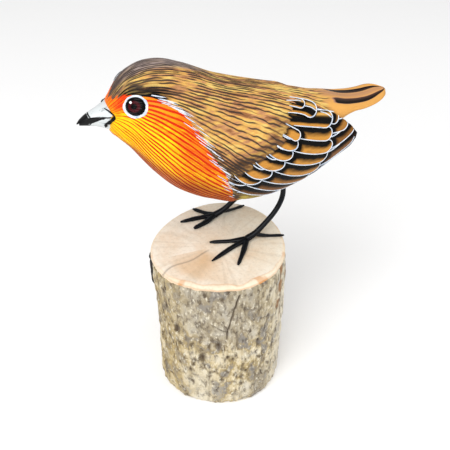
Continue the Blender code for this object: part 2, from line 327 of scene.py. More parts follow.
class Finish:
    """A material under construction, with the few patterns that every finish here shares."""

    def __init__(self, name: str, varnish: Varnish) -> None:
        """Start a material.

        Args:
            name: the real finish it stands for.
            varnish: its top coat.
        """
        self.material = bpy.data.materials.new(name)
        self.material.use_nodes = True
        self.tree = self.material.node_tree
        self.shader = self.tree.nodes["Principled BSDF"]
        self.shader.inputs["Roughness"].default_value = varnish.roughness
        self.shader.inputs["Specular IOR Level"].default_value = varnish.specular
        self.shader.inputs["Coat Weight"].default_value = varnish.coat
        self.shader.inputs["Coat Roughness"].default_value = varnish.coat_roughness
        self.place = add(self.tree, "ShaderNodeTexCoord", {}, "Object")

    def mottle(self, size_mm: float, detail: float = 3.0, stretch: tuple[float, float, float] = (1, 1, 1)) -> Socket:
        """Blotches about size_mm across, from 0 to 1."""
        scaled = add(self.tree, "ShaderNodeMapping", {"Vector": self.place, "Scale": stretch})
        sizes = {"Vector": scaled, "Scale": 1.0 / (size_mm * MM), "Detail": detail, "Roughness": 0.6}
        return add(self.tree, NOISE, sizes, 0)

    def set_surface(self, colour: Socket, height: Socket, depth_mm: float) -> None:
        """Send the colour and a fine relief to the shader.

        Args:
            colour: the finished colour.
            height: what raises the surface.
            depth_mm: how far it raises it.
        """
        self.tree.links.new(colour, self.shader.inputs["Base Color"])
        relief = add(self.tree, "ShaderNodeBump", {"Strength": 0.7, "Distance": depth_mm * MM, "Height": height})
        self.tree.links.new(relief, self.shader.inputs["Normal"])

    def vary_gloss(self, source: Socket, low: float, high: float) -> None:
        """Let the roughness wander between two values."""
        wander = add(self.tree, RANGE, [source, 0.3, 0.7, low, high])
        self.tree.links.new(wander, self.shader.inputs["Roughness"])

    def dress(self, piece: Piece) -> None:
        """Put the material on a piece in place of any other."""
        piece.data.materials.clear()
        piece.data.materials.append(self.material)


@dataclass(frozen=True)
class PlumagePaint:
    """Artist's acrylic brushed into carved grooves under satin varnish.

    Ridges keep the bright colour and the grooves hold the dark one, so the eye reads
    single strands; the gloss breaks along them.
    """

    yellow: str = "#FFD012"
    amber: str = "#FF9A10"
    orange: str = "#FB7418"
    red: str = "#DE3814"
    groove_red: str = "#C8160A"
    # Painted shade: the rust-red ridge and groove colours that darken the breast's underside.
    rust: str = "#B9531A"
    shaded_rust_groove: str = "#6E160A"
    gold: str = "#DCA858"
    pale_gold: str = "#EAC873"
    tan: str = "#C78F62"
    brown: str = "#96643F"
    umber: str = "#553C26"
    groove: str = "#3A302C"
    cap: str = "#A08D86"
    cap_front: str = "#5C4840"
    black: str = "#040303"
    khaki: str = "#B9A24A"
    tail_gold: str = "#E2A658"
    tail_rose: str = "#A87A66"
    ochre: str = "#C98C3C"
    low_brown: str = "#5E3618"

    def strands(self, f: Finish) -> tuple[Socket, Socket]:
        """Draw one groove line per strand, from the strand coordinates and their spacing.

        Args:
            f: the finish.

        Returns:
            How much of a groove line this is, and a tint that differs from strand to strand.
        """
        t = f.tree
        run = add(t, "ShaderNodeUVMap", {}, uv_map="Strands")
        across, along = (add(t, "ShaderNodeSeparateXYZ", [run], k) for k in (0, 1))
        pitch = add(t, "ShaderNodeAttribute", {}, "Fac", attribute_name="pitch")
        cell = add(t, "FLOOR", [across])
        part = add(t, "FRACT", [across])
        spot = add(t, "ShaderNodeCombineXYZ", [add(t, "MULTIPLY", [cell, 7.31]), add(t, "MULTIPLY", [along, 0.11])])
        sway = add(t, NOISE, {"Vector": spot, "Scale": 1.7, "Detail": 1.0}, 0, noise_dimensions="2D")
        middle = add(t, RANGE, [sway, 0.25, 0.75, 0.28, 0.72])
        off = add(t, "SUBTRACT", [part, middle])
        off = add(t, "MULTIPLY", [add(t, "ABSOLUTE", [off]), pitch])
        odd = add(t, "MODULO", [cell, 2.0])
        warm = add(t, RANGE, ["@breast", -1.0, 1.0, 0.0, 0.85])
        eased = add(t, "SUBTRACT", [pitch, add(t, "MULTIPLY", [warm, 0.75])])
        thin = add(t, RANGE, [eased, 0.5, 0.75, 1.0, 0.0])
        kept = add(t, "SUBTRACT", [1.0, add(t, "MULTIPLY", [odd, thin])])
        pair = add(t, "FLOOR", [add(t, "MULTIPLY", [cell, 0.5])])
        pair = add(t, "MODULO", [pair, 2.0])
        close = add(t, "MULTIPLY", [add(t, RANGE, [pitch, 0.55, 0.75, 1.0, 0.0]), warm])
        rarer = add(t, "SUBTRACT", [1.0, add(t, "MULTIPLY", [pair, close])])
        kept = add(t, "MULTIPLY", [kept, rarer])
        chance = add(t, NOISE, {"Vector": spot, "Scale": 1.0, "Detail": 1.0}, 0, noise_dimensions="2D")
        tint = add(t, NOISE, {"Vector": spot, "Scale": 0.37, "Detail": 2.0}, 0, noise_dimensions="2D")
        there = add(t, RANGE, [chance, 0.31, 0.45, 0.08, 1.0])
        there = add(t, "MAXIMUM", [there, warm])
        width = add(t, RANGE, [chance, 0.3, 0.7, 0.14, 0.30])
        width = add(t, "ADD", [width, add(t, "MULTIPLY", [warm, 0.16])])
        # Groove lines widen where the umber and its painted shade lie.
        width = add(t, "ADD", [width, add(t, "MULTIPLY", ["@burnt", 0.14])])
        outer = add(t, "ADD", [width, 0.20])
        core = add(t, RANGE, [off, width, outer, 1.0, 0.0])
        line = add(t, "MULTIPLY", [core, add(t, "MULTIPLY", [kept, there])])
        return line, tint

    def build(self) -> Finish:
        """Make the material of the carved body and wings."""
        f = Finish("satin_varnished_acrylic_plumage", Varnish(0.45, 0.08, 0.02, 0.3))
        t = f.tree
        line, tint = self.strands(f)
        brush = f.mottle(1.7, 4.0, (0.15, 1.0, 1.0))
        wear = f.mottle(0.8, 2.0)
        # back: gold and tan strands over dark grooves
        strand = add(t, "ADD", [tint, add(t, RANGE, [brush, 0.3, 0.7, -0.18, 0.18])])
        back = add(t, RAMP, [strand],
            stops=[(0.26, self.brown), (0.40, self.tan), (0.54, self.gold), (0.72, self.pale_gold)])
        # Darker umber on the back: partly the paint's own tone, partly painted shade where the wing meets the body,
        # along the breast's lower edge and down the lower flank.
        uneven = add(t, RANGE, [strand, 0.3, 0.6, 1.15, 0.5])
        burnt = add(t, "MULTIPLY", ["@burnt", uneven], use_clamp=True)
        back = add(t, MIX, {0: burnt, 6: back, 7: self.umber}, 2, data_type=RGBA)
        cap = add(t, RAMP, ["@cap_tone"], stops=[(0.0, self.cap_front), (1.0, self.cap)])
        uneven = add(t, RANGE, [strand, 0.3, 0.65, 1.25, 0.85])
        cap_share = add(t, "MULTIPLY", ["@cap", uneven], use_clamp=True)
        back = add(t, MIX, {0: cap_share, 6: back, 7: cap}, 2, data_type=RGBA)
        back = add(t, MIX, {0: add(t, "MULTIPLY", [line, 0.92]), 6: back, 7: self.groove}, 2, data_type=RGBA)
        brow = add(t, "ADD", ["@brow", add(t, RANGE, [strand, 0.25, 0.7, 0.14, -0.14])])
        brow = add(t, "ADD", [brow, add(t, "MULTIPLY", [line, 0.25])])
        back = add(t, MIX, {0: add(t, RANGE, [brow, 0.30, 0.95, 0.0, 1.0]), 6: back, 7: self.black}, 2,
            data_type=RGBA)
        # breast: yellow to red ridges over red grooves, darkening to rust-red below as painted shade of the underside
        heat = add(t, "ADD", ["@warmth", add(t, RANGE, [strand, 0.25, 0.75, -0.2, 0.2])])
        ridge = add(t, RAMP, [heat], stops=[(0.10, self.yellow), (0.36, self.amber), (0.66, self.orange),
            (1.0, self.red)])
        under = add(t, "ShaderNodeAttribute", {}, "Fac", attribute_name="under")
        ridge = add(t, MIX, {0: under, 6: ridge, 7: self.rust}, 2, data_type=RGBA)
        dark = add(t, MIX, {0: under, 6: self.groove_red, 7: self.shaded_rust_groove}, 2, data_type=RGBA)
        red_line = add(t, "MULTIPLY", [line, add(t, RANGE, [heat, 0.45, 0.9, 0.95, 0.75])])
        warm = add(t, MIX, {0: red_line, 6: ridge, 7: dark}, 2, data_type=RGBA)
        ragged = add(t, "ADD", ["@breast", add(t, RANGE, [strand, 0.25, 0.75, -1.3, 1.3])])
        skin = add(t, MIX, {0: add(t, RANGE, [ragged, -0.35, 0.35, 0.0, 1.0]), 6: back, 7: warm}, 2, data_type=RGBA)
        # belly, tail and feathers
        pale = add(t, MIX, {0: add(t, "MULTIPLY", [line, 0.6]), 6: self.khaki, 7: self.umber}, 2, data_type=RGBA)
        skin = add(t, MIX, {0: "@belly", 6: skin, 7: pale}, 2, data_type=RGBA)
        stripe = add(t, "ADD", ["@tail_band", add(t, RANGE, [brush, 0.3, 0.7, -0.06, 0.06])])
        stops = [(0.0, self.tail_gold), (0.40, self.tail_gold), (0.52, self.tail_rose), (0.62, self.black),
            (1.0, self.black)]
        tail = add(t, RAMP, [stripe], stops=stops)
        tail = add(t, MIX, {0: "@tail_rose", 6: tail, 7: self.tail_rose}, 2, data_type=RGBA)
        skin = add(t, MIX, {0: "@tail", 6: skin, 7: tail}, 2, data_type=RGBA)
        ochre = add(t, MIX, {0: "@low", 6: self.ochre, 7: self.low_brown}, 2, data_type=RGBA)
        ochre = add(t, MIX, {0: add(t, RANGE, [brush, 0.55, 0.75, 0.0, 0.45]), 6: ochre, 7: self.umber}, 2,
            data_type=RGBA)
        opened = add(t, "ADD", ["@open", add(t, RANGE, [brush, 0.3, 0.7, -0.12, 0.12])])
        feather = add(t, MIX, {0: add(t, RANGE, [opened, 0.28, 0.80, 0.0, 1.0]), 6: self.black, 7: ochre}, 2,
            data_type=RGBA)
        feather = add(t, MIX, {0: "@gilt", 6: feather, 7: self.gold}, 2, data_type=RGBA)
        feather = add(t, MIX, {0: "@rim", 6: feather, 7: self.black}, 2, data_type=RGBA)
        edge = add(t, RANGE, ["@feather", 0.0, 1.0, -0.75, 1.75])
        edge = add(t, "ADD", [edge, add(t, RANGE, [strand, 0.36, 0.64, -0.7, 0.9])])
        skin = add(t, MIX, {0: add(t, RANGE, [edge, 0.3, 0.8, 0.0, 1.0]), 6: skin, 7: feather}, 2, data_type=RGBA)
        f.vary_gloss(wear, 0.34, 0.52)
        f.set_surface(skin, add(t, "SUBTRACT", [wear, line]), 0.10)
        return f


@dataclass(frozen=True)
class LinePaint:
    """Thick white acrylic drawn with a fine brush; it stands proud and turns bluish where thin."""

    white: str = "#E9EEF6"
    shade: str = "#A9BBD2"

    def build(self) -> Finish:
        """Make the material of the white brush lines."""
        f = Finish("white_acrylic_brush_line", Varnish(0.5, 0.3))
        thin = add(f.tree, RANGE, [f.mottle(2.0), 0.42, 0.72, 0.0, 1.0])
        f.set_surface(add(f.tree, MIX, {0: thin, 6: self.white, 7: self.shade}, 2, data_type=RGBA), f.mottle(0.5),
            0.05)
        return f


@dataclass(frozen=True)
class BeakPaint:
    """Silver-white brushed over black; the black stays at the tip and along the gape."""

    silver: str = "#D3D8D9"
    grey: str = "#6F777B"
    black: str = "#040405"

    def build(self) -> Finish:
        """Make the material of both halves of the beak."""
        f = Finish("silver_brushed_black_acrylic", Varnish(0.34, 0.18, 0.05, 0.2))
        t = f.tree
        brush = f.mottle(1.5, 4.0, (0.35, 1.0, 1.3))
        pale = add(t, RAMP, [brush], stops=[(0.28, self.grey), (0.44, self.silver), (1.0, self.silver)])
        dark = add(t, "ADD", ["@dark", add(t, RANGE, [brush, 0.3, 0.7, -0.2, 0.2])])
        share = add(t, RANGE, [dark, 0.42, 0.60, 0.0, 1.0])
        f.set_surface(add(t, MIX, {0: share, 6: pale, 7: self.black}, 2, data_type=RGBA), brush, 0.08)
        return f


@dataclass(frozen=True)
class PlainPaint:
    """One colour of paint, mottled a little so that brush marks show."""

    name: str
    colour: str
    mottle: str
    varnish: Varnish
    size_mm: float = 1.5
    depth_mm: float = 0.08

    def build(self) -> Finish:
        """Make the material."""
        f = Finish(self.name, self.varnish)
        mark = f.mottle(self.size_mm)
        share = add(f.tree, RANGE, [mark, 0.35, 0.7, 0.0, 1.0])
        f.set_surface(add(f.tree, MIX, {0: share, 6: self.colour, 7: self.mottle}, 2, data_type=RGBA), mark,
            self.depth_mm)
        return f


@dataclass(frozen=True)
class EyePaint:
    """Gloss bead: black, a maroon ring round a black pupil, and a dot of white painted on as a highlight."""

    black: str = "#040304"
    maroon: str = "#430B12"
    glint: str = "#FFFFFF"

    def build(self) -> Finish:
        """Make the material of both eyes."""
        f = Finish("gloss_bead_with_maroon_ring", Varnish(0.14, 0.08, 0.03, 0.08))
        t = f.tree
        stops = [(0.0, self.black), (0.26, self.black), (0.36, self.maroon), (0.54, self.maroon), (0.66, self.black)]
        ring = add(t, RAMP, ["@spread"], stops=stops)
        # Painted highlight: a white dot on the bead in place of a reflection.
        dot = add(t, RANGE, ["@glint", 0.4, 0.6, 0.0, 1.0])
        f.set_surface(add(t, MIX, {0: dot, 6: ring, 7: self.glint}, 2, data_type=RGBA), f.mottle(2.0), 0.01)
        return f


@dataclass(frozen=True)
class StrippedLog:
    """Weathered inner bark: grey, cream and khaki patches, dark pits and vertical fissures."""

    cream: str = "#D6C6A2"
    khaki: str = "#AC9768"
    grey: str = "#928B80"
    slate: str = "#6E6A66"
    dark: str = "#4A3C2E"
    fleck: str = "#F0E8D2"
    rust: str = "#8F6236"
    pale: str = "#D9D1BE"

    def build(self) -> Finish:
        """Make the material of the log's side."""
        f = Finish("weathered_inner_bark", Varnish(0.85, 0.25))
        t = f.tree
        patch = f.mottle(7.0, 6.0, (1.0, 1.0, 0.7))
        grain = f.mottle(2.6, 6.0, (1.0, 1.0, 0.6))
        fissure = f.mottle(2.4, 5.0, (1.25, 1.25, 0.35))
        fine = f.mottle(1.3, 3.0, (1.0, 1.0, 0.55))
        stops = [(0.30, self.slate), (0.39, self.grey), (0.46, self.khaki), (0.52, self.cream), (0.66, self.pale)]
        base = add(t, RAMP, [patch], stops=stops)
        for name, colour in (("tanned", self.khaki), ("smoky", self.grey), ("bleached", self.pale)):
            base = add(t, MIX, {0: "@" + name, 6: base, 7: colour}, 2, data_type=RGBA)
        crease = add(t, RANGE, [grain, 0.49, 0.66, 0.0, 0.85])
        base = add(t, MIX, {0: crease, 6: base, 7: self.dark}, 2, data_type=RGBA)
        split = add(t, RANGE, [fissure, 0.58, 0.68, 0.0, 0.65])
        base = add(t, MIX, {0: split, 6: base, 7: self.dark}, 2, data_type=RGBA)
        fleck = add(t, RANGE, [fine, 0.56, 0.70, 0.0, 0.7])
        base = add(t, MIX, {0: fleck, 6: base, 7: self.fleck}, 2, data_type=RGBA)
        base = add(t, MIX, {0: "@rust", 6: base, 7: self.rust}, 2, data_type=RGBA)
        base = add(t, MIX, {0: "@pit", 6: base, 7: self.dark}, 2, data_type=RGBA)
        f.set_surface(base, add(t, "SUBTRACT", [patch, grain]), 0.9)
        return f


@dataclass(frozen=True)
class SawnFace:
    """Fine-sanded end grain: cream sapwood, a tan heart and faint rays from the middle."""

    cream: str = "#F0E7D6"
    tan: str = "#D8B68C"
    ray: str = "#A9987C"
    crack: str = "#85766A"
    sap: str = "#F3E5C9"
    stain: str = "#D79A62"

    def build(self) -> Finish:
        """Make the material of the log's sawn end."""
        f = Finish("sanded_end_grain", Varnish(0.75, 0.25))
        t = f.tree
        cloud = f.mottle(13.0, 4.0)
        fine = f.mottle(1.1, 3.0)
        share = add(t, RANGE, [cloud, 0.42, 0.72, 0.0, 0.5])
        base = add(t, MIX, {0: share, 6: self.cream, 7: self.tan}, 2, data_type=RGBA)
        masks = (("heart", self.tan), ("rays", self.ray), ("sapwood", self.sap), ("stain", self.stain),
            ("crack", self.crack))
        for name, colour in masks:
            base = add(t, MIX, {0: "@" + name, 6: base, 7: colour}, 2, data_type=RGBA)
        share = add(t, RANGE, [fine, 0.5, 0.75, 0.0, 0.25])
        base = add(t, MIX, {0: share, 6: base, 7: self.ray}, 2, data_type=RGBA)
        f.set_surface(base, fine, 0.15)
        return f


# ---------------------------------------------------------------- the bird's form


@dataclass
class Form:
    """The carved form that skin, wings, eyes and paint all follow.

    Attributes:
        middle: the bird's plane of symmetry.
        body: rows of x, back z, belly z, half width.
        wing: rows of x, half width, middle z, half height, upper and lower edge angle.
        breast: rows of angle and the x where the breast colour ends.
        root: rows of angle and the x where the wing's feathers start.
    """

    middle: float = 11.7
    body: Array = field(default_factory=lambda: np.array([(-40.5, 145.5, 141.0, 2.3), (-39.5, 148.5, 138.0, 5.3),
        (-37.0, 152.3, 134.7, 8.7), (-33.0, 157.3, 130.0, 12.4), (-27.0, 160.5, 121.0, 17.7),
        (-18.0, 161.0, 110.2, 22.9), (-8.0, 157.7, 103.0, 24.5), (4.0, 151.6, 97.6, 24.4), (16.0, 147.2, 97.0, 22.6),
        (28.0, 143.3, 99.0, 19.5), (38.0, 140.0, 105.5, 16.2), (46.0, 137.5, 114.5, 12.8), (52.0, 136.0, 122.5, 10.9),
        (60.0, 133.3, 128.6, 9.4), (66.0, 132.5, 129.4, 8.7), (70.0, 132.6, 130.4, 8.2), (73.0, 133.2, 131.3, 7.5),
        (75.4, 133.6, 131.9, 6.1), (77.4, 133.6, 132.1, 4.0), (78.8, 133.5, 132.3, 1.3)]))
    wing: Array = field(default_factory=lambda: np.array([(-9.0, 24.6, 130.8, 27.4, 30.0, -30.0),
        (-4.0, 24.6, 128.5, 27.2, 46.0, -34.0), (4.0, 24.6, 124.6, 27.1, 58.0, -40.0),
        (16.0, 23.3, 121.9, 25.4, 72.0, -52.0), (28.0, 22.0, 120.8, 22.8, 79.0, -61.0),
        (38.0, 20.0, 120.8, 20.4, 71.0, -61.0), (46.0, 18.0, 121.6, 17.4, 56.0, -59.0),
        (52.0, 16.6, 122.8, 15.0, 37.0, -55.0), (56.5, 15.7, 123.9, 13.4, 17.0, -43.0),
        (59.5, 15.1, 124.6, 12.4, -4.0, -17.0)]))
    breast: Array = field(default_factory=lambda: np.array([(-90.0, 5.5), (-44.0, 4.9), (-24.0, 3.0), (-11.0, -0.2),
        (0.0, -4.0), (15.0, -8.5), (28.0, -12.5), (38.0, -15.6), (43.0, -20.5), (46.0, -25.5), (48.0, -29.5),
        (50.5, -32.5), (55.0, -34.2), (63.0, -35.8), (90.0, -38.1)]))
    root: Array = field(default_factory=lambda: np.array([(-90.0, 6.0), (-40.0, 3.0), (-22.0, 1.0), (-12.0, -1.0),
        (-5.0, 1.3), (0.0, 6.0), (9.0, 11.0), (14.0, 16.0), (22.0, 20.0), (41.0, 25.0), (64.0, 29.5), (90.0, 33.0)]))

    def rounds(self, x: Array) -> tuple[Array, Array, Array]:
        """Half width, half height and middle height of the body's section at x."""
        top, low = spline(self.body, 1, x), spline(self.body, 2, x)
        return spline(self.body, 3, x), (top - low) / 2, (top + low) / 2

    def body_point(self, x: Array, angle: Array) -> Array:
        """Point on the plain body; the angle runs from the left flank up over the back."""
        half, tall, centre = self.rounds(x)
        return np.stack([x + 0 * angle, self.middle - half * np.cos(angle), centre + tall * np.sin(angle)], -1)

    def wing_point(self, x: Array, angle: Array, sink: Array | float = 0.0) -> Array:
        """Point on the left wing's outer face, or below it by sink."""
        half, tall = spline(self.wing, 1, x) - sink, spline(self.wing, 3, x) - sink
        return np.stack([x + 0 * angle, self.middle - half * np.cos(angle),
            spline(self.wing, 2, x) + tall * np.sin(angle)], -1)

    def reach(self, x: Array) -> Array:
        """Mean radius of the wing's surface, which turns an angle into millimetres."""
        return np.sqrt((spline(self.wing, 1, x) ** 2 + spline(self.wing, 3, x) ** 2) / 2)

    def skin_point(self, x: Array, angle: Array) -> Array:
        """Point on the carved skin, which swells to meet the wings."""
        folded = np.where(np.cos(angle) >= 0, angle, math.pi - angle)
        folded = np.where(folded > math.pi, folded - 2 * math.pi, folded)
        degrees = np.degrees(folded)
        plain = self.body_point(x, angle)
        swollen = self.wing_point(x, folded)
        swollen[..., 1] = np.where(np.cos(angle) >= 0, swollen[..., 1], 2 * self.middle - swollen[..., 1])
        share = ease(-78, -58, degrees) * (1 - ease(66, 84, degrees))
        edge = spline(self.root, 1, degrees)
        share = share * (1 - ease(1.0, 6.0, x - edge)) * ease(-9.0, 2.0, x)
        return plain + (swollen - plain) * share[..., None]


# ---------------------------------------------------------------- skin


@dataclass
class Grain:
    """How the carved strands run over the body.

    Attributes:
        form: the shape they lie on.
        stations: places along x.
        runs: for each strand, its angle at x = -16 and then its angle at every station.
        strands: strands in half a turn.
    """

    form: Form
    stations: tuple[float, ...] = (-40, -36, -32, -24, -16, -8, 0, 10, 20, 30, 40, 50, 79)
    runs: tuple[tuple[float, ...], ...] = ((-90, *(-90,) * 13),
        (-75, -14, -45, -60, -70, -75, -77, -78, -78, -78, -78, -77, -75, -60),
        (-50, 8, -22, -33, -44, -50, -54, -57, -60, -61, -62, -61, -56, -38),
        (-28, 22, 6, -8, -20, -28, -34, -40, -46, -50, -52, -50, -43, -18),
        (0, 29, 22, 14, 7, 0, -8, -16, -25, -33, -38, -38, -32, -8),
        (23, 36, 34, 31, 27.5, 23, 14, 6, -5, -14, -22, -26, -22, -2),
        (35.5, 42, 41, 39.5, 38, 35.5, 28, 23, 13, 2, -9, -15, -12, 4),
        (46, 48, 48, 48, 48, 46, 43, 43, 39, 29, 14, 3, 1, 12),
        (62, 62, 61, 61, 61, 62, 62, 63.5, 64, 62, 54, 38, 22, 28),
        (78, 76, 76, 76, 77, 78, 79, 80, 80, 78, 73, 60, 36, 45), (90, *(90,) * 13))
    strands: int = 64
    steps: int = 5

    def __post_init__(self) -> None:
        """Work out the strand angles on a fine table, smoothed both ways."""
        self.fine_x = np.linspace(self.stations[0] - 1, self.stations[-1], 481)
        table = np.array(self.runs)
        rows = np.column_stack([np.array(self.stations, float), table[:, 1:].T])
        by_run = np.stack([spline(rows, 1 + k, self.fine_x) for k in range(len(table))])
        self.labels = np.linspace(-90, 90, self.strands * self.steps + 1)
        dense = np.stack([np.interp(self.labels, table[:, 0], by_run[:, i]) for i in range(len(self.fine_x))])
        pad = 24
        window = np.hanning(2 * pad + 1)
        window /= window.sum()
        before = 2 * dense[:, :1] - dense[:, pad:0:-1]
        after = 2 * dense[:, -1:] - dense[:, -2 : -pad - 2 : -1]
        long = np.concatenate([before, dense, after], axis=1)
        self.angles = np.stack([np.convolve(row, window, "valid") for row in long])
        self.angles[:, 0], self.angles[:, -1] = -90, 90
        half, tall, centre = self.form.rounds(self.fine_x)
        run = np.hypot(np.diff(self.fine_x), np.hypot(np.diff(half), np.diff(tall) + np.diff(centre)) * 0.8)
        self.run = np.concatenate([[0.0], np.cumsum(run)])

    def rings(self, count: int) -> Array:
        """Places of the rings, evenly spaced along the surface."""
        low, high = self.form.body[0, 0], self.form.body[-1, 0]
        length = np.interp([low, high], self.fine_x, self.run)
        return np.interp(np.linspace(*length, count), self.run, self.fine_x)

    def along(self, x: Array) -> Array:
        """Distance run along the surface at x."""
        return np.interp(x, self.fine_x, self.run)

    def angle(self, x: Array) -> Array:
        """Strand angles in degrees, one row for each x and one column for each label."""
        place = np.interp(x, self.fine_x, np.arange(len(self.fine_x)))
        low = np.clip(np.floor(place).astype(int), 0, len(self.fine_x) - 2)
        share = (place - low)[:, None]
        wobble = noise(np.stack(np.broadcast_arrays(x[:, None] / 15 + 9, self.labels[None] / 9 + 20), -1), 12) - 0.5
        fade = ease(90, 78, np.abs(self.labels))[None]
        return self.angles[low] * (1 - share) + self.angles[low + 1] * share + 1.6 * wobble * fade

    def flow(self, x: Array, degrees: Array, radius: Array) -> tuple[Array, Array]:
        """Find the strands that pass each place.

        Args:
            x: one value for each row.
            degrees: angles in that row.
            radius: turns an angle into millimetres.

        Returns:
            Strand number and the spacing of the strands.
        """
        angles = self.angle(x)
        slope = np.gradient(angles, self.labels, axis=1)
        label = np.stack([np.interp(d, a, self.labels) for d, a in zip(degrees, angles)])
        rise = np.stack([np.interp(row, self.labels, line) for row, line in zip(label, slope)])
        per_strand = 180 / self.strands
        return (label + 90) / per_strand + 0.5 / self.steps, np.radians(rise * per_strand) * radius

    def follow(self, x: Array, degrees: Array, step: float) -> Array:
        """Angle reached by running along the strand from each place by step in x."""
        here, there = self.angle(x), self.angle(x + step)
        label = np.array([np.interp(d, a, self.labels) for d, a in zip(degrees, here)])
        return np.array([np.interp(k, self.labels, a) for k, a in zip(label, there)])


@dataclass
class Paintwork:
    """Where each colour goes on the body, as fields that the plumage paint reads."""

    form: Form
    cap_edge: tuple[tuple[float, ...], ...] = ((-36.7, -33.6, -30.4, -25.9, -15.7, -9.0, -2.0),
        (88, 79, 78, 80, 83, 87, 90))
    brow_edge: tuple[tuple[float, ...], ...] = ((-36.8, -34.7, -32.5, -30.0, -27.0, -24.6, -20.7, -12.0),
        (70, 55, 49, 45.5, 44, 44.5, 47, 49))
    yellow_top: tuple[tuple[float, ...], ...] = ((-37.4, -34.8, -31.7, -27.7, -22.9, -18.8, -13.0, -6.6),
        (26, 18, 12, 7, 3, -6, -15, -20))
    # Upper edge of the painted shade on the breast's underside.
    underside_shade_top: tuple[tuple[float, ...], ...] = ((-38.8, -34.8, -30.8, -26.7, -17.8, -10.1, -3.3),
        (-70, -64, -57, -50, -43, -38, -40))

    def fields(self, x: Array, degrees: Array, rough: Array, far: Array | bool) -> dict[str, Array]:
        """Work out every field.

        Args:
            x: place along the body.
            degrees: angle from the flank, the same on both sides.
            rough: uneven noise, 0 to 1.
            far: whether the place is on the right side, where the cap reaches lower.

        Returns:
            Fields by attribute name; breast is millimetres inside the breast's edge.
        """
        edge = spline(self.form.breast, 1, degrees)
        inside = edge - x
        shake = (rough - 0.5) * 2
        warmth = ease(-6, 30, degrees - np.interp(x, *self.yellow_top)) * 0.46
        warmth += 0.18 * np.exp(-np.maximum(inside, 0) / 3.0) * ease(-50, 20, degrees)
        warmth += 0.45 * np.exp(-np.maximum(inside, 0) / 6.0) * ease(-4, -26, degrees)
        warmth += 0.45 * bump(-35.8, 2.6, x) * bump(43, 13, degrees) - 0.25 * bump(-39.5, 1.6, x) * bump(45, 20,
            degrees)
        warmth += 0.10 * shake
        # Painted shade: the breast turns rust-red towards the underside.
        under = ease(26, -2, degrees - np.interp(x, *self.underside_shade_top)) * ease(-40, -33, x)
        cap_edge = np.where(far, 38.0, np.interp(x, *self.cap_edge))
        cap = ease(-4, 4, degrees - cap_edge) * (1 - ease(-8, 6, x))
        cap = np.maximum(cap, 0.7 * ease(54, 64, degrees) * (1 - ease(-36, -29, x)))
        above = degrees - np.interp(x, *self.brow_edge)
        brow = (1.15 - np.maximum(above, 0) / 16) * ease(-36.4, -33.5, x) * (1 - ease(-24, -15, x))
        # Darker umber on the back: partly the paint's own tone in a few patches, partly painted shade where the wing
        # meets the body, along the breast's lower edge and down the lower flank.
        root = x - spline(self.form.root, 1, degrees)
        burnt = ease(-9.0, -0.5, root) * (0.7 + 0.8 * ease(26, 6, degrees)) * (1 - ease(40, 60, degrees))
        burnt += 0.9 * np.exp(-np.maximum(-inside, 0) / 3.0) * ease(22, -12, degrees)
        burnt += 0.35 * bump(-22, 7, x) * bump(56, 10, degrees) + 0.2 * bump(-8, 7, x) * bump(34, 12, degrees)
        burnt += 0.15 * ease(76, 92, degrees) * (1 - ease(0, 30, x)) + 0.1 * shake
        burnt += 0.3 * ease(32, 8, degrees) * ease(-12, 4, x)
        burnt += 0.9 * bump(-30, 6, x) * bump(58, 8, degrees)
        belly = ease(0.8, 3.0, -inside) * ease(-24, -34, degrees)
        return {"breast": np.clip(inside, -20, 20), "warmth": np.clip(warmth, 0, 1), "under": np.clip(under, 0, 0.95),
            "cap": np.clip(cap, 0, 1), "cap_tone": ease(-36, -28, x) * np.maximum(ease(60, 78, degrees), far),
            "brow": np.clip(brow, 0, 1.2), "burnt": np.clip(burnt, 0, 1), "belly": belly,
            "tail": ease(47.5, 51.5, x + 1.6 * shake)}


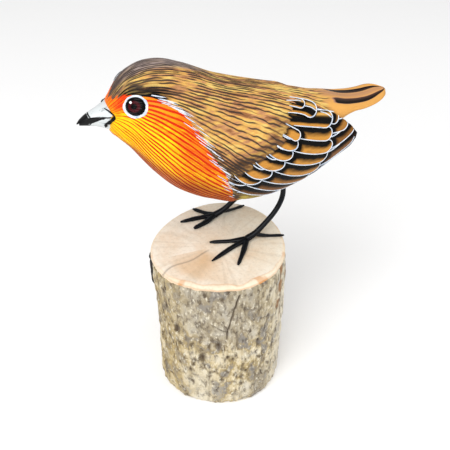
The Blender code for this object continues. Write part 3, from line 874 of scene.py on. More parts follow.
@dataclass
class CarvedSkin:
    """Head, trunk and tail as one carved, painted surface.

    Attributes:
        form: the shape it follows.
        grain: how its strands run.
        rings: cross-sections from beak to tail.
        depth_mm: depth of the carved grooves.
    """

    form: Form
    grain: Grain
    rings: int = 150
    depth_mm: float = 0.24

    def tail_marks(self, x: Array, angle: Array) -> tuple[Array, Array]:
        """Two dark stripes and a rosy far edge along the tail's upper face."""
        across = np.cos(angle)
        top = ease(-0.15, 0.2, np.sin(angle))
        width = 0.20 - 0.08 * ease(66, 79, x)
        centre = 0.46 - 0.06 * ease(66, 79, x)
        stripe = ease(1.5, 0.5, np.abs(np.abs(across) - centre) / width)
        return stripe * top * ease(47, 58, x), (0.8 * ease(0.84, 0.97, across * -1) + 0.65
            * bump(0, 0.28, across)) * top

    def build(self) -> Piece:
        """Make the skin with its grooves, paint fields and unwrapping."""
        xs = self.grain.rings(self.rings)
        left = np.radians(self.grain.angle(xs))
        angle = np.concatenate([left[:, :-1], math.pi - left[:, :0:-1]], axis=1)
        around = angle.shape[1]
        x = np.broadcast_to(xs[:, None], angle.shape)
        surface = self.form.skin_point(x, angle)
        along = np.broadcast_to(self.grain.along(xs)[:, None], angle.shape)
        degrees = np.degrees(np.where(np.cos(angle) >= 0, angle, math.pi - angle))
        rough = noise(surface / 1.6, 5)
        fields = Paintwork(self.form).fields(x, degrees, rough, np.cos(angle) < 0)
        fields["tail_band"], fields["tail_rose"] = self.tail_marks(x, angle)
        for name in ("feather", "open", "low", "gilt", "rim"):
            fields[name] = np.zeros(x.shape)
        across = (np.roll(surface, -1, axis=1) - np.roll(surface, 1, axis=1)) / 2
        pitch = np.linalg.norm(across, axis=-1) * self.grain.steps
        fields["pitch"] = pitch
        normal = np.cross(np.gradient(surface, axis=0), across)
        normal /= np.maximum(np.linalg.norm(normal, axis=-1), 1e-9)[..., None]
        centre = np.stack([x, np.full_like(x, self.form.middle), self.form.rounds(x)[2]], -1)
        normal *= np.sign(np.einsum("...i,...i->...", normal, surface - centre))[..., None]
        strand = np.arange(around) / self.grain.steps + 0.5 / self.grain.steps
        cell = np.floor(strand)
        off = np.abs(strand - cell - 0.5)[None] * pitch
        kept = 1 - (cell % 2)[None] * ease(0.75, 0.5, pitch - 0.64 * ease(-1, 1, fields["breast"]))
        cut = self.depth_mm * kept * np.exp(-((off / 0.30) ** 2)) * ease(0.2, 0.6, pitch)
        cut *= (1 - fields["tail"]) * (1 - 0.7 * fields["cap"])
        cut += 0.35 * fields["tail"] * fields["tail_band"]
        cut += 0.16 * (noise(surface / 5.0, 8) - 0.5)
        fade = ease(0, 0.5, x - xs[0]) * ease(0, 0.8, xs[-1] - x)
        surface = surface - normal * (cut * fade)[..., None]
        points = np.concatenate([surface.reshape(-1, 3), [surface[0].mean(axis=0), surface[-1].mean(axis=0)]])
        faces = grid_faces(self.rings, around, True)
        start, last = len(points) - 2, (self.rings - 1) * around
        for k in range(around):
            after = (k + 1) % around
            faces.append((start, after, k))
            faces.append((start + 1, last + k, last + after))
        piece = mesh_object("carved_skin", points, faces)
        for name, values in fields.items():
            paint(piece, name, np.concatenate([values.ravel(), [values[0].mean(), values[-1].mean()]]))
        flat = np.stack([0.004 + 0.99 * np.arange(around) / around + 0 * x, 0.005 + 0.985 * (along - along.min())
            / np.ptp(along)], -1)
        face_map(piece, "OFBake", np.concatenate([flat.reshape(-1, 2), [[0.5, 0.0], [0.5, 1.0]]]), 0.99)
        flow = np.stack([np.broadcast_to(strand, x.shape), along], -1).reshape(-1, 2)
        ends = np.array([[around / 10, along.min()], [around / 10, along.max()]])
        face_map(piece, "Strands", np.concatenate([flow, ends]), around / self.grain.steps)
        return piece


# ---------------------------------------------------------------- feathers


@dataclass(frozen=True)
class Feather:
    """One carved feather, laid out on the wing's unrolled surface.

    Attributes:
        root: where it comes out, as x and height above the flank line.
        bend: a point half way.
        tip: middle of its round end.
        half: half its width.
        low: how dark a brown it is.
        shaft: whether it is a black shaft with a gold band.
    """

    root: tuple[float, float]
    bend: tuple[float, float]
    tip: tuple[float, float]
    half: float
    low: float = 0.0
    shaft: bool = False

    def spine(self, count: int = 24) -> Array:
        """Points down the middle of the feather."""
        t = np.linspace(0, 1, count)[:, None]
        root, bend, tip = (np.array(p, float) for p in (self.root, self.bend, self.tip))
        control = 2 * bend - (root + tip) / 2
        return (1 - t) ** 2 * root + 2 * t * (1 - t) * control + t**2 * tip

    def locate(self, places: Array) -> tuple[Array, Array]:
        """Distance outside the feather's edge, and offset above its spine in half widths."""
        spine = self.spine()
        best = np.full(places.shape[:-1], 1e9)
        aside = np.zeros(places.shape[:-1])
        for a, b in zip(spine[:-1], spine[1:]):
            run, off = b - a, places - a
            t = np.clip((off @ run) / (run @ run), 0, 1)
            gap = np.linalg.norm(off - t[..., None] * run, axis=-1)
            cross = (run[0] * off[..., 1] - run[1] * off[..., 0]) / np.linalg.norm(run)
            aside = np.where(gap < best, cross, aside)
            best = np.minimum(best, gap)
        return best - self.half, aside / self.half

    def outline(self, count: int = 60) -> Array:
        """Lower edge, round tip and upper edge in one run."""
        spine = self.spine(count)
        ahead = np.gradient(spine, axis=0)
        ahead /= np.linalg.norm(ahead, axis=1)[:, None]
        up = np.stack([-ahead[:, 1], ahead[:, 0]], -1)
        lower, upper = spine - up * self.half, spine + up * self.half
        turn = np.linspace(-math.pi / 2, math.pi / 2, 22)[1:-1, None]
        cap = spine[-1] + self.half * (np.cos(turn) * ahead[-1] + np.sin(turn) * up[-1])
        return np.concatenate([lower, cap, upper[::-1]])


# Uppermost first: every feather lies over those that follow it.
FEATHERS = (Feather((27.0, 26.0), (31.5, 24.2), (34.7, 22.5), 2.1, 0.0, True),
    Feather((27.0, 23.8), (34.0, 21.7), (38.2, 18.9), 3.3, 0.0, True),
    Feather((22.5, 15.8), (26.5, 13.0), (29.2, 11.0), 2.1), Feather((19.5, 12.6), (24.0, 8.9), (27.6, 7.8), 2.2),
    Feather((16.0, 9.6), (21.0, 5.3), (25.0, 4.4), 2.2), Feather((11.0, 6.8), (16.0, 1.9), (21.2, 1.1), 2.4),
    Feather((6.0, 3.0), (11.0, -1.5), (15.8, -2.3), 2.3), Feather((1.5, 0.8), (7.0, -3.8), (11.6, -4.5), 2.2),
    Feather((-3.0, -2.8), (2.0, -4.8), (5.8, -5.0), 2.0),
    Feather((30.0, 18.0), (38.0, 15.2), (44.4, 12.6), 3.3, 0.0, True),
    Feather((38.0, 17.0), (44.0, 14.0), (48.4, 11.3), 2.2, 0.3), Feather((28.0, 13.4), (37.0, 9.6), (43.8, 6.9), 2.6),
    Feather((26.0, 9.0), (36.0, 4.4), (43.7, 1.6), 2.7), Feather((22.0, 5.4), (33.0, 0.4), (41.6, -2.2), 2.8),
    Feather((18.0, 2.6), (29.0, -3.6), (38.6, -7.0), 3.1, 0.15),
    Feather((12.0, -0.8), (24.0, -7.0), (34.5, -11.4), 3.1, 0.5),
    Feather((8.0, -4.0), (19.0, -10.2), (29.5, -15.5), 3.0, 0.8),
    Feather((2.0, -6.4), (12.0, -11.4), (22.5, -17.6), 3.0, 0.8),
    Feather((36.0, 12.5), (45.0, 9.0), (52.0, 7.2), 2.4, 0.5),
    Feather((34.0, 5.0), (46.0, 2.2), (54.6, 3.6), 2.6, 0.7),
    Feather((32.0, -2.0), (46.0, -4.6), (56.6, -0.6), 3.2, 0.8),
    Feather((28.0, -8.0), (44.0, -10.4), (57.0, -4.6), 3.4, 0.9))
# The far wing hangs lower, so its two uppermost feathers sit lower too.
FAR_TOP = (Feather((27.5, 17.0), (32.0, 15.8), (34.8, 15.0), 1.5, 0.0, True),
    Feather((27.0, 14.6), (34.0, 13.4), (39.0, 11.8), 2.5, 0.0, True))
SHAFT_LINES = (((29.0, 25.4), (33.9, 24.1), (35.6, 23.2)), ((36.2, 20.9), (39.0, 19.3), (41.0, 16.9)),
    ((42.7, 16.2), (45.3, 14.4), (47.2, 12.0)),
    ((42.0, -11.4), (47.8, -8.7), (52.1, -7.1), (56.4, -4.7), (57.7, -1.4)))
RIM_EDGE = ((30.0, 36.0, 42.0, 47.8, 52.1, 56.4, 57.7, 59.5), (-18.0, -14.6, -11.8, -9.1, -7.5, -5.1, -1.8, 6.0))


@dataclass
class TopFeather:
    """What lies on top at each place of the wing.

    Attributes:
        above: distance below the open edge of the feathers above.
        half: half width of the feather on top.
        aside: offset above its spine, in half widths.
        low: how dark a brown it is.
        shaft: 1 where it is a black shaft.
        least: how far the place is outside every feather.
    """

    above: Array
    half: Array
    aside: Array
    low: Array
    shaft: Array
    least: Array


@dataclass
class WingShell:
    """One feathered wing: outer face with stepped feathers, inner face plain.

    Attributes:
        form: the shape it follows.
        grain: strands that run on from the body.
        side: left or right.
        rows: cross-sections along x.
        columns: points from lower to upper edge.
        step_mm: how far a feather's open edge stands over the next.
        thick: thickness at the free edge.
    """

    form: Form
    grain: Grain
    side: Side
    rows: int = 250
    columns: int = 180
    step_mm: float = 0.6
    thick: float = 1.5

    def __post_init__(self) -> None:
        """Choose the feathers and the upper limit of this side."""
        near = self.side is Side.LEFT
        self.feathers = FEATHERS if near else (*FAR_TOP, *FEATHERS[2:])
        self.lines = SHAFT_LINES if near else SHAFT_LINES[3:]
        self.ceiling = ((26.0, 36.0), (90.0, 90.0) if near else (43.0, 20.0))

    def turned(self, points: Array) -> Array:
        """Mirror the points over to this side."""
        out = points.copy()
        out[..., 1] = self.form.middle + self.side.value * (points[..., 1] - self.form.middle)
        return out

    def upper(self, x: Array) -> Array:
        """Angle of the wing's upper edge."""
        return np.minimum(spline(self.form.wing, 4, x), np.interp(x, *self.ceiling))

    def layers(self, places: Array) -> TopFeather:
        """Find the feather on top at each place of the unrolled wing."""
        shape = places.shape[:-1]
        covered = np.zeros(shape, bool)
        top = TopFeather(np.full(shape, 9.0), np.full(shape, 2.5), np.zeros(shape), np.full(shape, 0.8),
            np.zeros(shape), np.full(shape, 99.0))
        for feather in self.feathers:
            gap, aside = feather.locate(places)
            top.least = np.minimum(top.least, gap)
            here = (gap <= 0) & ~covered
            top.half[here], top.low[here], top.shaft[here] = feather.half, feather.low, feather.shaft
            top.aside[here] = aside[here]
            covered |= here
            top.above = np.where(covered, top.above, np.minimum(top.above, gap))
        return top

    def build(self) -> Piece:
        """Make the wing with its stepped feathers and paint fields."""
        start, end = -6.0, self.form.wing[-1, 0]
        s = np.linspace(0, 1, self.rows) ** 0.92
        x = start + (end - start) * s
        high, low = np.radians(self.upper(x)), np.radians(spline(self.form.wing, 5, x))
        t = np.linspace(0, 1, self.columns)
        angle = low[:, None] + (high - low)[:, None] * t[None]
        xx = np.broadcast_to(x[:, None], angle.shape)
        reach, degrees = self.form.reach(xx), np.degrees(angle)
        top = self.layers(np.stack([xx, angle * reach], -1))
        rootward = xx - spline(self.form.root, 1, degrees)
        edge = np.minimum(t, 1 - t)[None] * (high - low)[:, None] * reach
        edge = np.minimum(edge, (end - xx) * 1.2)
        rounding = 0.8 * (1 - ease(0, 1.4, edge)) ** 2
        dip = self.step_mm * (1 - ease(0.0, 1.15, top.above / top.half)) * ease(0.5, 3.0, rootward)
        lift = 0.35 * ease(-1.0, 3.0, rootward) - 0.5 * (1 - ease(-3.5, -0.5, rootward))
        lift -= 0.9 * (1 - ease(-9.0, -3.0, rootward))
        grain = 0.05 * (noise(np.stack([xx / 5, angle * reach / 0.8], -1), 9) - 0.5)
        outer = self.turned(self.form.wing_point(xx, angle, dip + rounding - lift + grain))
        inner = self.turned(self.form.wing_point(xx, angle, self.thick + 0.9 * (1 - ease(0, 8, rootward)) - rounding
            * 0.6))
        piece = self.sheet(f"feathered_wing_{self.side.name.lower()}", outer, inner)
        fields = Paintwork(self.form).fields(xx, degrees, noise(outer / 1.6, 5), self.side is Side.RIGHT)
        belly = ease(34, 27, xx) * ease(-20, -28, degrees)
        bare = ease(-0.1, 0.3, top.least) * np.maximum(ease(20, 40, degrees), belly)
        rim = ease(0.15, -0.15, angle * reach - np.interp(xx, *RIM_EDGE)) * ease(30, 33, xx)
        shadow = ease(0.12, 1.9, top.above / top.half) * (0.3 + 0.7 * ease(1.5, 6.0, rootward))
        shadow *= np.where(rootward < 9, ease(1.0, 0.1, top.aside), 1.0)
        strand, pitch = self.grain.flow(x, degrees, reach)
        if self.side is Side.RIGHT:
            strand = 2 * self.grain.strands + 1 / self.grain.steps - strand
        fields |= {"pitch": pitch, "breast": fields["breast"] - 20 * ease(0, 3, rootward), "tail": np.zeros(xx.shape),
            "tail_band": np.zeros(xx.shape), "tail_rose": np.zeros(xx.shape), "feather": ease(-0.6, 5.2, rootward)
            * (1 - bare), "open": np.where(top.shaft > 0, 0.85 * ease(-0.35, -0.85, top.aside), shadow),
            "gilt": top.shaft * bump(0.55, 0.2, top.aside) * ease(1.0, 3.0, rootward) * (top.above > 0.6),
            "low": top.low, "rim": np.maximum(rim, ease(0.0, 0.4, top.least) * (1 - ease(20, 40, degrees)))}
        for name, values in fields.items():
            paint(piece, name, np.concatenate([values.ravel(), values.ravel()]))
        flat = np.stack([0.01 + 0.98 * np.broadcast_to(s[:, None], angle.shape),
            0.02 + 0.46 * np.broadcast_to(t[None], angle.shape)], -1)
        under = flat * (1, -1) + (0, 1)
        face_map(piece, "OFBake", np.concatenate([flat.reshape(-1, 2), under.reshape(-1, 2)]))
        run = np.stack([strand, np.broadcast_to(self.grain.along(x)[:, None], angle.shape)], -1).reshape(-1, 2)
        face_map(piece, "Strands", np.concatenate([run, run]))
        return piece

    def sheet(self, name: str, outer: Array, inner: Array) -> Piece:
        """Close the outer and inner faces into one thick sheet."""
        faces = grid_faces(self.rows, self.columns, False)
        n, back = self.columns, self.rows * self.columns
        faces += [tuple(back + k for k in reversed(face)) for face in faces]
        for r in range(self.rows - 1):
            a, b = r * n, r * n + n - 1
            faces.append((a, a + n, back + a + n, back + a))
            faces.append((b, back + b, back + b + n, b + n))
        last = (self.rows - 1) * n
        for k in range(n - 1):
            faces.append((k, back + k, back + k + 1, k + 1))
            faces.append((last + k, last + k + 1, back + last + k + 1, back + last + k))
        return mesh_object(name, np.concatenate([outer.reshape(-1, 3), inner.reshape(-1, 3)]), faces)

    def edge_lines(self) -> list[Array]:
        """Open feather edges as runs of points just over the wing's outer face."""
        runs: list[Array] = []
        for i, feather in enumerate(self.feathers):
            run = feather.outline()
            hidden = np.zeros(len(run), bool)
            for over in self.feathers[:i]:
                hidden |= over.locate(run)[0] < 0.12
            x, height = run[:, 0], run[:, 1]
            angle = height / self.form.reach(x)
            degrees = np.degrees(angle)
            hidden |= x < spline(self.form.root, 1, degrees) + 0.6
            hidden |= degrees > self.upper(x) - 1.0
            hidden |= degrees < spline(self.form.wing, 5, x) + 2.5
            hidden |= (x > self.form.wing[-1, 0] - 1.2) | ((x > 30) & (height < np.interp(x, *RIM_EDGE) + 0.5))
            start = 0
            for stop in [*np.flatnonzero(hidden).tolist(), len(run)]:
                if stop - start > 7:
                    runs.append(self.on_wing(run[start:stop]))
                start = stop + 1
        return runs + [self.on_wing(through(list(line), 24)) for line in self.lines]

    def on_wing(self, run: Array) -> Array:
        """Lift a run of places off the unrolled wing on to its outer face."""
        return self.turned(self.form.wing_point(run[:, 0], run[:, 1] / self.form.reach(run[:, 0]), -0.36))


# ---------------------------------------------------------------- geometry nodes


def run_tree(name: str, base: Piece, tree: bpy.types.NodeTree, values: dict[str, object]) -> Piece:
    """Evaluate a node tree on an object and keep the result as a plain mesh.

    Args:
        name: name of the finished piece.
        base: object that carries the source geometry; it is removed.
        tree: the geometry tree.
        values: the tree's inputs by name.

    Returns:
        The finished piece.
    """
    step = base.modifiers.new("grow", "NODES")
    step.node_group = tree
    for item in tree.interface.items_tree:
        if item.item_type == "SOCKET" and item.in_out == "INPUT" and item.name in values:
            step[item.identifier] = values[item.name]
    graph = bpy.context.evaluated_depsgraph_get()
    graph.update()
    mesh = bpy.data.meshes.new_from_object(base.evaluated_get(graph), depsgraph=graph)
    mesh.name = name
    piece = bpy.data.objects.new(name, mesh)
    bpy.context.scene.collection.objects.link(piece)
    bpy.data.objects.remove(base, do_unlink=True)
    return piece


def new_tree(name: str, inputs: dict[str, tuple[str, float]]) -> tuple[bpy.types.NodeTree, bpy.types.Node,
        bpy.types.Node]:
    """Start a geometry tree with named inputs.

    Args:
        name: tree name.
        inputs: socket type and default for each named input.

    Returns:
        The tree, its input node and its output node.
    """
    tree = bpy.data.node_groups.new(name, "GeometryNodeTree")
    tree.interface.new_socket("Geometry", in_out="INPUT", socket_type="NodeSocketGeometry")
    for label, (kind, default) in inputs.items():
        socket = tree.interface.new_socket(label, in_out="INPUT", socket_type=kind)
        if default is not None:
            socket.default_value = default
    tree.interface.new_socket("Geometry", in_out="OUTPUT", socket_type="NodeSocketGeometry")
    return tree, tree.nodes.new("NodeGroupInput"), tree.nodes.new("NodeGroupOutput")


def brush_line_tree() -> bpy.types.NodeTree:
    """Sweep a tapering bead of paint along every run of edges."""
    inputs = {"Radius": ("NodeSocketFloat", 0.0003), "Material": ("NodeSocketMaterial", None)}
    tree, given, out = new_tree("brush_line", inputs)
    curve = add(tree, "GeometryNodeMeshToCurve", [given.outputs["Geometry"]])
    even = add(tree, "GeometryNodeResampleCurve", {"Curve": curve, "Length": 0.4 * MM}, mode="LENGTH")
    taper = add(tree, "ShaderNodeFloatCurve", {"Value": add(tree, "GeometryNodeSplineParameter", {}, "Factor")})
    shape = taper.node.mapping.curves[0]
    shape.points[0].location = (0.0, 0.35)
    shape.points[1].location = (1.0, 0.45)
    for where, value in ((0.12, 0.95), (0.5, 1.0), (0.86, 0.95)):
        shape.points.new(where, value)
    taper.node.mapping.update()
    wobble = add(tree, NOISE, {"Scale": 500.0, "Detail": 1.0})
    uneven = add(tree, RANGE, [wobble, 0.3, 0.7, 0.75, 1.25])
    size = add(tree, "MULTIPLY", [taper, uneven])
    size = add(tree, "MULTIPLY", [size, given.outputs["Radius"]])
    bead = add(tree, "GeometryNodeCurvePrimitiveCircle", {"Resolution": 8, "Radius": 1.0}, "Curve")
    sized = add(tree, "GeometryNodeSetCurveRadius", {"Curve": even, "Radius": size})
    swept = add(tree, "GeometryNodeCurveToMesh", {"Curve": sized, "Profile Curve": bead, "Fill Caps": True})
    if "Scale" in swept.node.inputs:
        tree.links.new(size, swept.node.inputs["Scale"])
    soft = add(tree, "GeometryNodeSetShadeSmooth", [swept])
    solid = add(tree, "GeometryNodeRealizeInstances", [soft])
    dressed = add(tree, "GeometryNodeSetMaterial", {"Geometry": solid, "Material": given.outputs["Material"]})
    tree.links.new(dressed, out.inputs[0])
    return tree


def stroke_tree() -> bpy.types.NodeTree:
    """Stand a short brush stroke on every point, turned by the point's own direction."""
    inputs = {"Length": ("NodeSocketFloat", 0.0035), "Width": ("NodeSocketFloat", 0.0004),
        "Seed": ("NodeSocketInt", 7), "Material": ("NodeSocketMaterial", None)}
    tree, given, out = new_tree("brush_strokes", inputs)
    dab = add(tree, "GeometryNodeMeshIcoSphere", {"Radius": 1.0, "Subdivisions": 2})
    named = "GeometryNodeInputNamedAttribute"
    ahead = add(tree, named, {"Name": "ahead"}, data_type="FLOAT_VECTOR")
    outward = add(tree, named, {"Name": "outward"}, data_type="FLOAT_VECTOR")
    along = add(tree, "FunctionNodeAlignRotationToVector", {"Vector": ahead}, axis="X")
    facing = add(tree, "FunctionNodeAlignRotationToVector", {"Rotation": along, "Vector": outward}, axis="Z",
        pivot_axis="X")
    vary = add(tree, "FunctionNodeRandomValue", {2: 0.6, 3: 1.4, "Seed": given.outputs["Seed"]}, 1, data_type="FLOAT")
    half = add(tree, "MULTIPLY", [given.outputs["Length"], 0.5])
    long = add(tree, "MULTIPLY", [vary, half])
    thin = add(tree, "MULTIPLY", [given.outputs["Width"], 0.5])
    size = add(tree, "ShaderNodeCombineXYZ", [long, thin, thin])
    spots = {"Points": given.outputs["Geometry"], "Instance": dab, "Rotation": facing, "Scale": size}
    solid = add(tree, "GeometryNodeRealizeInstances", [add(tree, "GeometryNodeInstanceOnPoints", spots)])
    soft = add(tree, "GeometryNodeSetShadeSmooth", [solid])
    dressed = add(tree, "GeometryNodeSetMaterial", {"Geometry": soft, "Material": given.outputs["Material"]})
    tree.links.new(dressed, out.inputs[0])
    return tree


def edge_object(name: str, runs: list[Array]) -> Piece:
    """Carrier mesh that holds only edges, one chain for each run of points."""
    points = np.concatenate(runs)
    edges: list[tuple[int, int]] = []
    first = 0
    for run in runs:
        edges += [(first + k, first + k + 1) for k in range(len(run) - 1)]
        first += len(run)
    mesh = bpy.data.meshes.new(name)
    mesh.from_pydata((points * MM).tolist(), edges, [])
    carrier = bpy.data.objects.new(name, mesh)
    bpy.context.scene.collection.objects.link(carrier)
    return carrier


def point_object(name: str, places: Array, vectors: dict[str, Array]) -> Piece:
    """Carrier mesh of loose points with a named direction for each."""
    mesh = bpy.data.meshes.new(name)
    mesh.from_pydata((places * MM).tolist(), [], [])
    for label, values in vectors.items():
        layer = mesh.attributes.new(label, "FLOAT_VECTOR", "POINT")
        layer.data.foreach_set("vector", np.ascontiguousarray(values, np.float32).ravel())
    carrier = bpy.data.objects.new(name, mesh)
    bpy.context.scene.collection.objects.link(carrier)
    return carrier


# ---------------------------------------------------------------- white marks on the skin


@dataclass
class BreastStrokes:
    """Pale brush strokes that feather the breast's edge into the back.

    Attributes:
        form: the shape they lie on.
        grain: the strands they follow.
        side: left or right.
        behind_eye: longer strokes stacked behind the eye.
        down_edge: shorter strokes down the edge.
        length_mm: usual stroke length.
        seed: start of the random draws.
    """

    form: Form
    grain: Grain
    side: Side
    behind_eye: int = 15
    down_edge: int = 44
    length_mm: float = 4.8
    seed: int = 5

    def build(self, white: Finish) -> Piece:
        """Place the strokes and make them one mesh.

        Args:
            white: the paint.

        Returns:
            The strokes.
        """
        pick = np.random.default_rng(self.seed + self.side.value)
        stack = np.linspace(47.5, 37, self.behind_eye) + pick.normal(0, 0.5, self.behind_eye)
        below = np.linspace(38, -36, self.down_edge) + pick.normal(0, 1.0, self.down_edge)
        degrees = np.concatenate([stack, below])
        x = spline(self.form.breast, 1, degrees) + 0.4 + pick.normal(0.0, 1.5, len(degrees))
        x[: self.behind_eye] = np.linspace(-23.0, -16.0, self.behind_eye) + 1.2 * pick.normal(0, 1, self.behind_eye)
        here = self.form.skin_point(x, np.radians(degrees))
        there = self.form.skin_point(x + 1.0, np.radians(self.grain.follow(x, degrees, 1.0)))
        beside = self.form.skin_point(x, np.radians(degrees) + 0.02)
        ahead = there - here
        outward = np.cross(beside - here, ahead)
        outward /= np.linalg.norm(outward, axis=1)[:, None]
        outward *= np.sign(-outward[:, 1])[:, None]
        here = here + outward * 0.03
        for values in (here, ahead, outward):
            offset = self.form.middle if values is here else 0.0
            values[:, 1] = offset + self.side.value * (values[:, 1] - offset)
        name = f"breast_strokes_{self.side.name.lower()}"
        carrier = point_object(name + "_points", here, {"ahead": ahead, "outward": outward})
        sizes = {"Length": self.length_mm * MM, "Width": 0.30 * MM, "Seed": 7, "Material": white.material}
        return run_tree(name, carrier, stroke_tree(), sizes)


# ---------------------------------------------------------------- eyes and beak


@dataclass
class Eye:
    """Glass bead sunk in the head, with the painted white ring round it.

    Attributes:
        form: the head's shape.
        side: left or right.
        place: x and angle of its middle on the head.
        bead: half length and half height of the bead.
        ring: half length and half height of the white ring.
    """

    form: Form
    side: Side
    place: tuple[float, float] = (-31.1, 34.0)
    bead: tuple[float, float] = (3.95, 3.35)
    ring: tuple[float, float] = (5.05, 4.2)
    rise_mm: float = 1.2

    def axes(self) -> tuple[Array, Array, Array, Array]:
        """Middle of the eye on the head, and its forward, upward and outward directions."""
        x, angle = np.array([self.place[0]]), np.array([math.radians(self.place[1])])
        here = self.form.skin_point(x, angle)[0]
        back = self.form.skin_point(x + 1.5, angle)[0] - self.form.skin_point(x - 1.5, angle)[0]
        up = self.form.skin_point(x, angle + 0.08)[0] - self.form.skin_point(x, angle - 0.08)[0]
        for values in (here, back, up):
            offset = self.form.middle if values is here else 0.0
            values[1] = offset + self.side.value * (values[1] - offset)
        outward = np.cross(back, up)
        outward /= np.linalg.norm(outward)
        outward *= np.sign(outward[1]) * -self.side.value
        ahead = -back + outward * (back @ outward)
        ahead /= np.linalg.norm(ahead)
        up -= outward * (up @ outward) + ahead * (up @ ahead)
        return here, ahead, up / np.linalg.norm(up), outward

    def build(self, skin: BVHTree) -> tuple[Piece, Piece]:
        """Make the bead and its ring.

        Args:
            skin: the carved skin, to lay both on.

        Returns:
            The bead and the ring.
        """
        here, ahead, up, outward = self.axes()
        rows, around = 26, 64
        turn = np.linspace(0, 2 * math.pi, around, endpoint=False)
        spread = np.linspace(0.04, 1.0, rows)
        dome = np.empty((rows + 1, around, 3))
        for j, a in enumerate(turn):
            flat = self.bead[0] * math.cos(a) * ahead + self.bead[1] * math.sin(a) * up
            for i, share in enumerate(spread):
                dome[i, j] = lay(skin, here + share * flat, outward, self.rise_mm * math.sqrt(1 - share**2) - 0.02)
            dome[rows, j] = dome[rows - 1, j] - outward * 1.4
        points = np.concatenate([[dome[0].mean(axis=0)], dome.reshape(-1, 3), [here - outward * 1.8]])
        faces = [tuple(1 + k for k in face) for face in grid_faces(rows + 1, around, True)]
        end = len(points) - 1
        for k in range(around):
            after = (k + 1) % around
            faces.append((0, 1 + after, 1 + k))
            faces.append((end, 1 + rows * around + k, 1 + rows * around + after))
        name = self.side.name.lower()
        bead = mesh_object(f"eye_bead_{name}", points, faces)
        paint(bead, "spread", np.concatenate([[0.0], np.repeat(spread, around), np.ones(around + 1)]))
        # Painted highlight: a small white dot high on the bead's front.
        off_x, off_y = spread[:, None] * np.cos(turn) - 0.36, spread[:, None] * np.sin(turn) - 0.42
        glint = bump(0, 0.16, np.hypot(off_x, off_y))
        paint(bead, "glint", np.concatenate([[0.0], glint.ravel(), np.zeros(around + 1)]))
        return bead, self.white_ring(skin, (here, ahead, up, outward), name)

    def white_ring(self, skin: BVHTree, axes: tuple[Array, Array, Array, Array], name: str) -> Piece:
        """Lay a band of paint on the skin round the bead, widest below and behind."""
        here, ahead, up, outward = axes
        around, across = 96, 9
        turn = np.linspace(0, 2 * math.pi, around, endpoint=False)
        wobble = noise(np.stack([np.cos(turn), np.sin(turn)], -1) * 2.6 + 7, 4) - 0.5
        rows = []
        for k in range(across):
            t = k / (across - 1)
            lift = 0.36 * math.sqrt(max(0.0, 1 - (2 * t - 1) ** 2)) - 0.10
            ring = []
            for a, shake in zip(turn, wobble):
                wide = t * (1 + 0.5 * shake + 0.25 * max(0.0, -math.sin(a - 0.5)))
                long = self.bead[0] - 0.1 + (self.ring[0] - self.bead[0]) * wide
                tall = self.bead[1] - 0.1 + (self.ring[1] - self.bead[1]) * wide
                ring.append(lay(skin, here + long * math.cos(a) * ahead + tall * math.sin(a) * up, outward, lift))
            rows.append(ring)
        under = [[p - outward * 0.5 for p in rows[-1]], [p - outward * 0.5 for p in rows[0]]]
        points = np.array(rows + under).reshape(-1, 3)
        faces = grid_faces(across + 2, around, True)
        last = (across + 1) * around
        for k in range(around):
            after = (k + 1) % around
            faces.append((last + k, last + after, after, k))
        return mesh_object(f"eye_ring_{name}", points, faces)


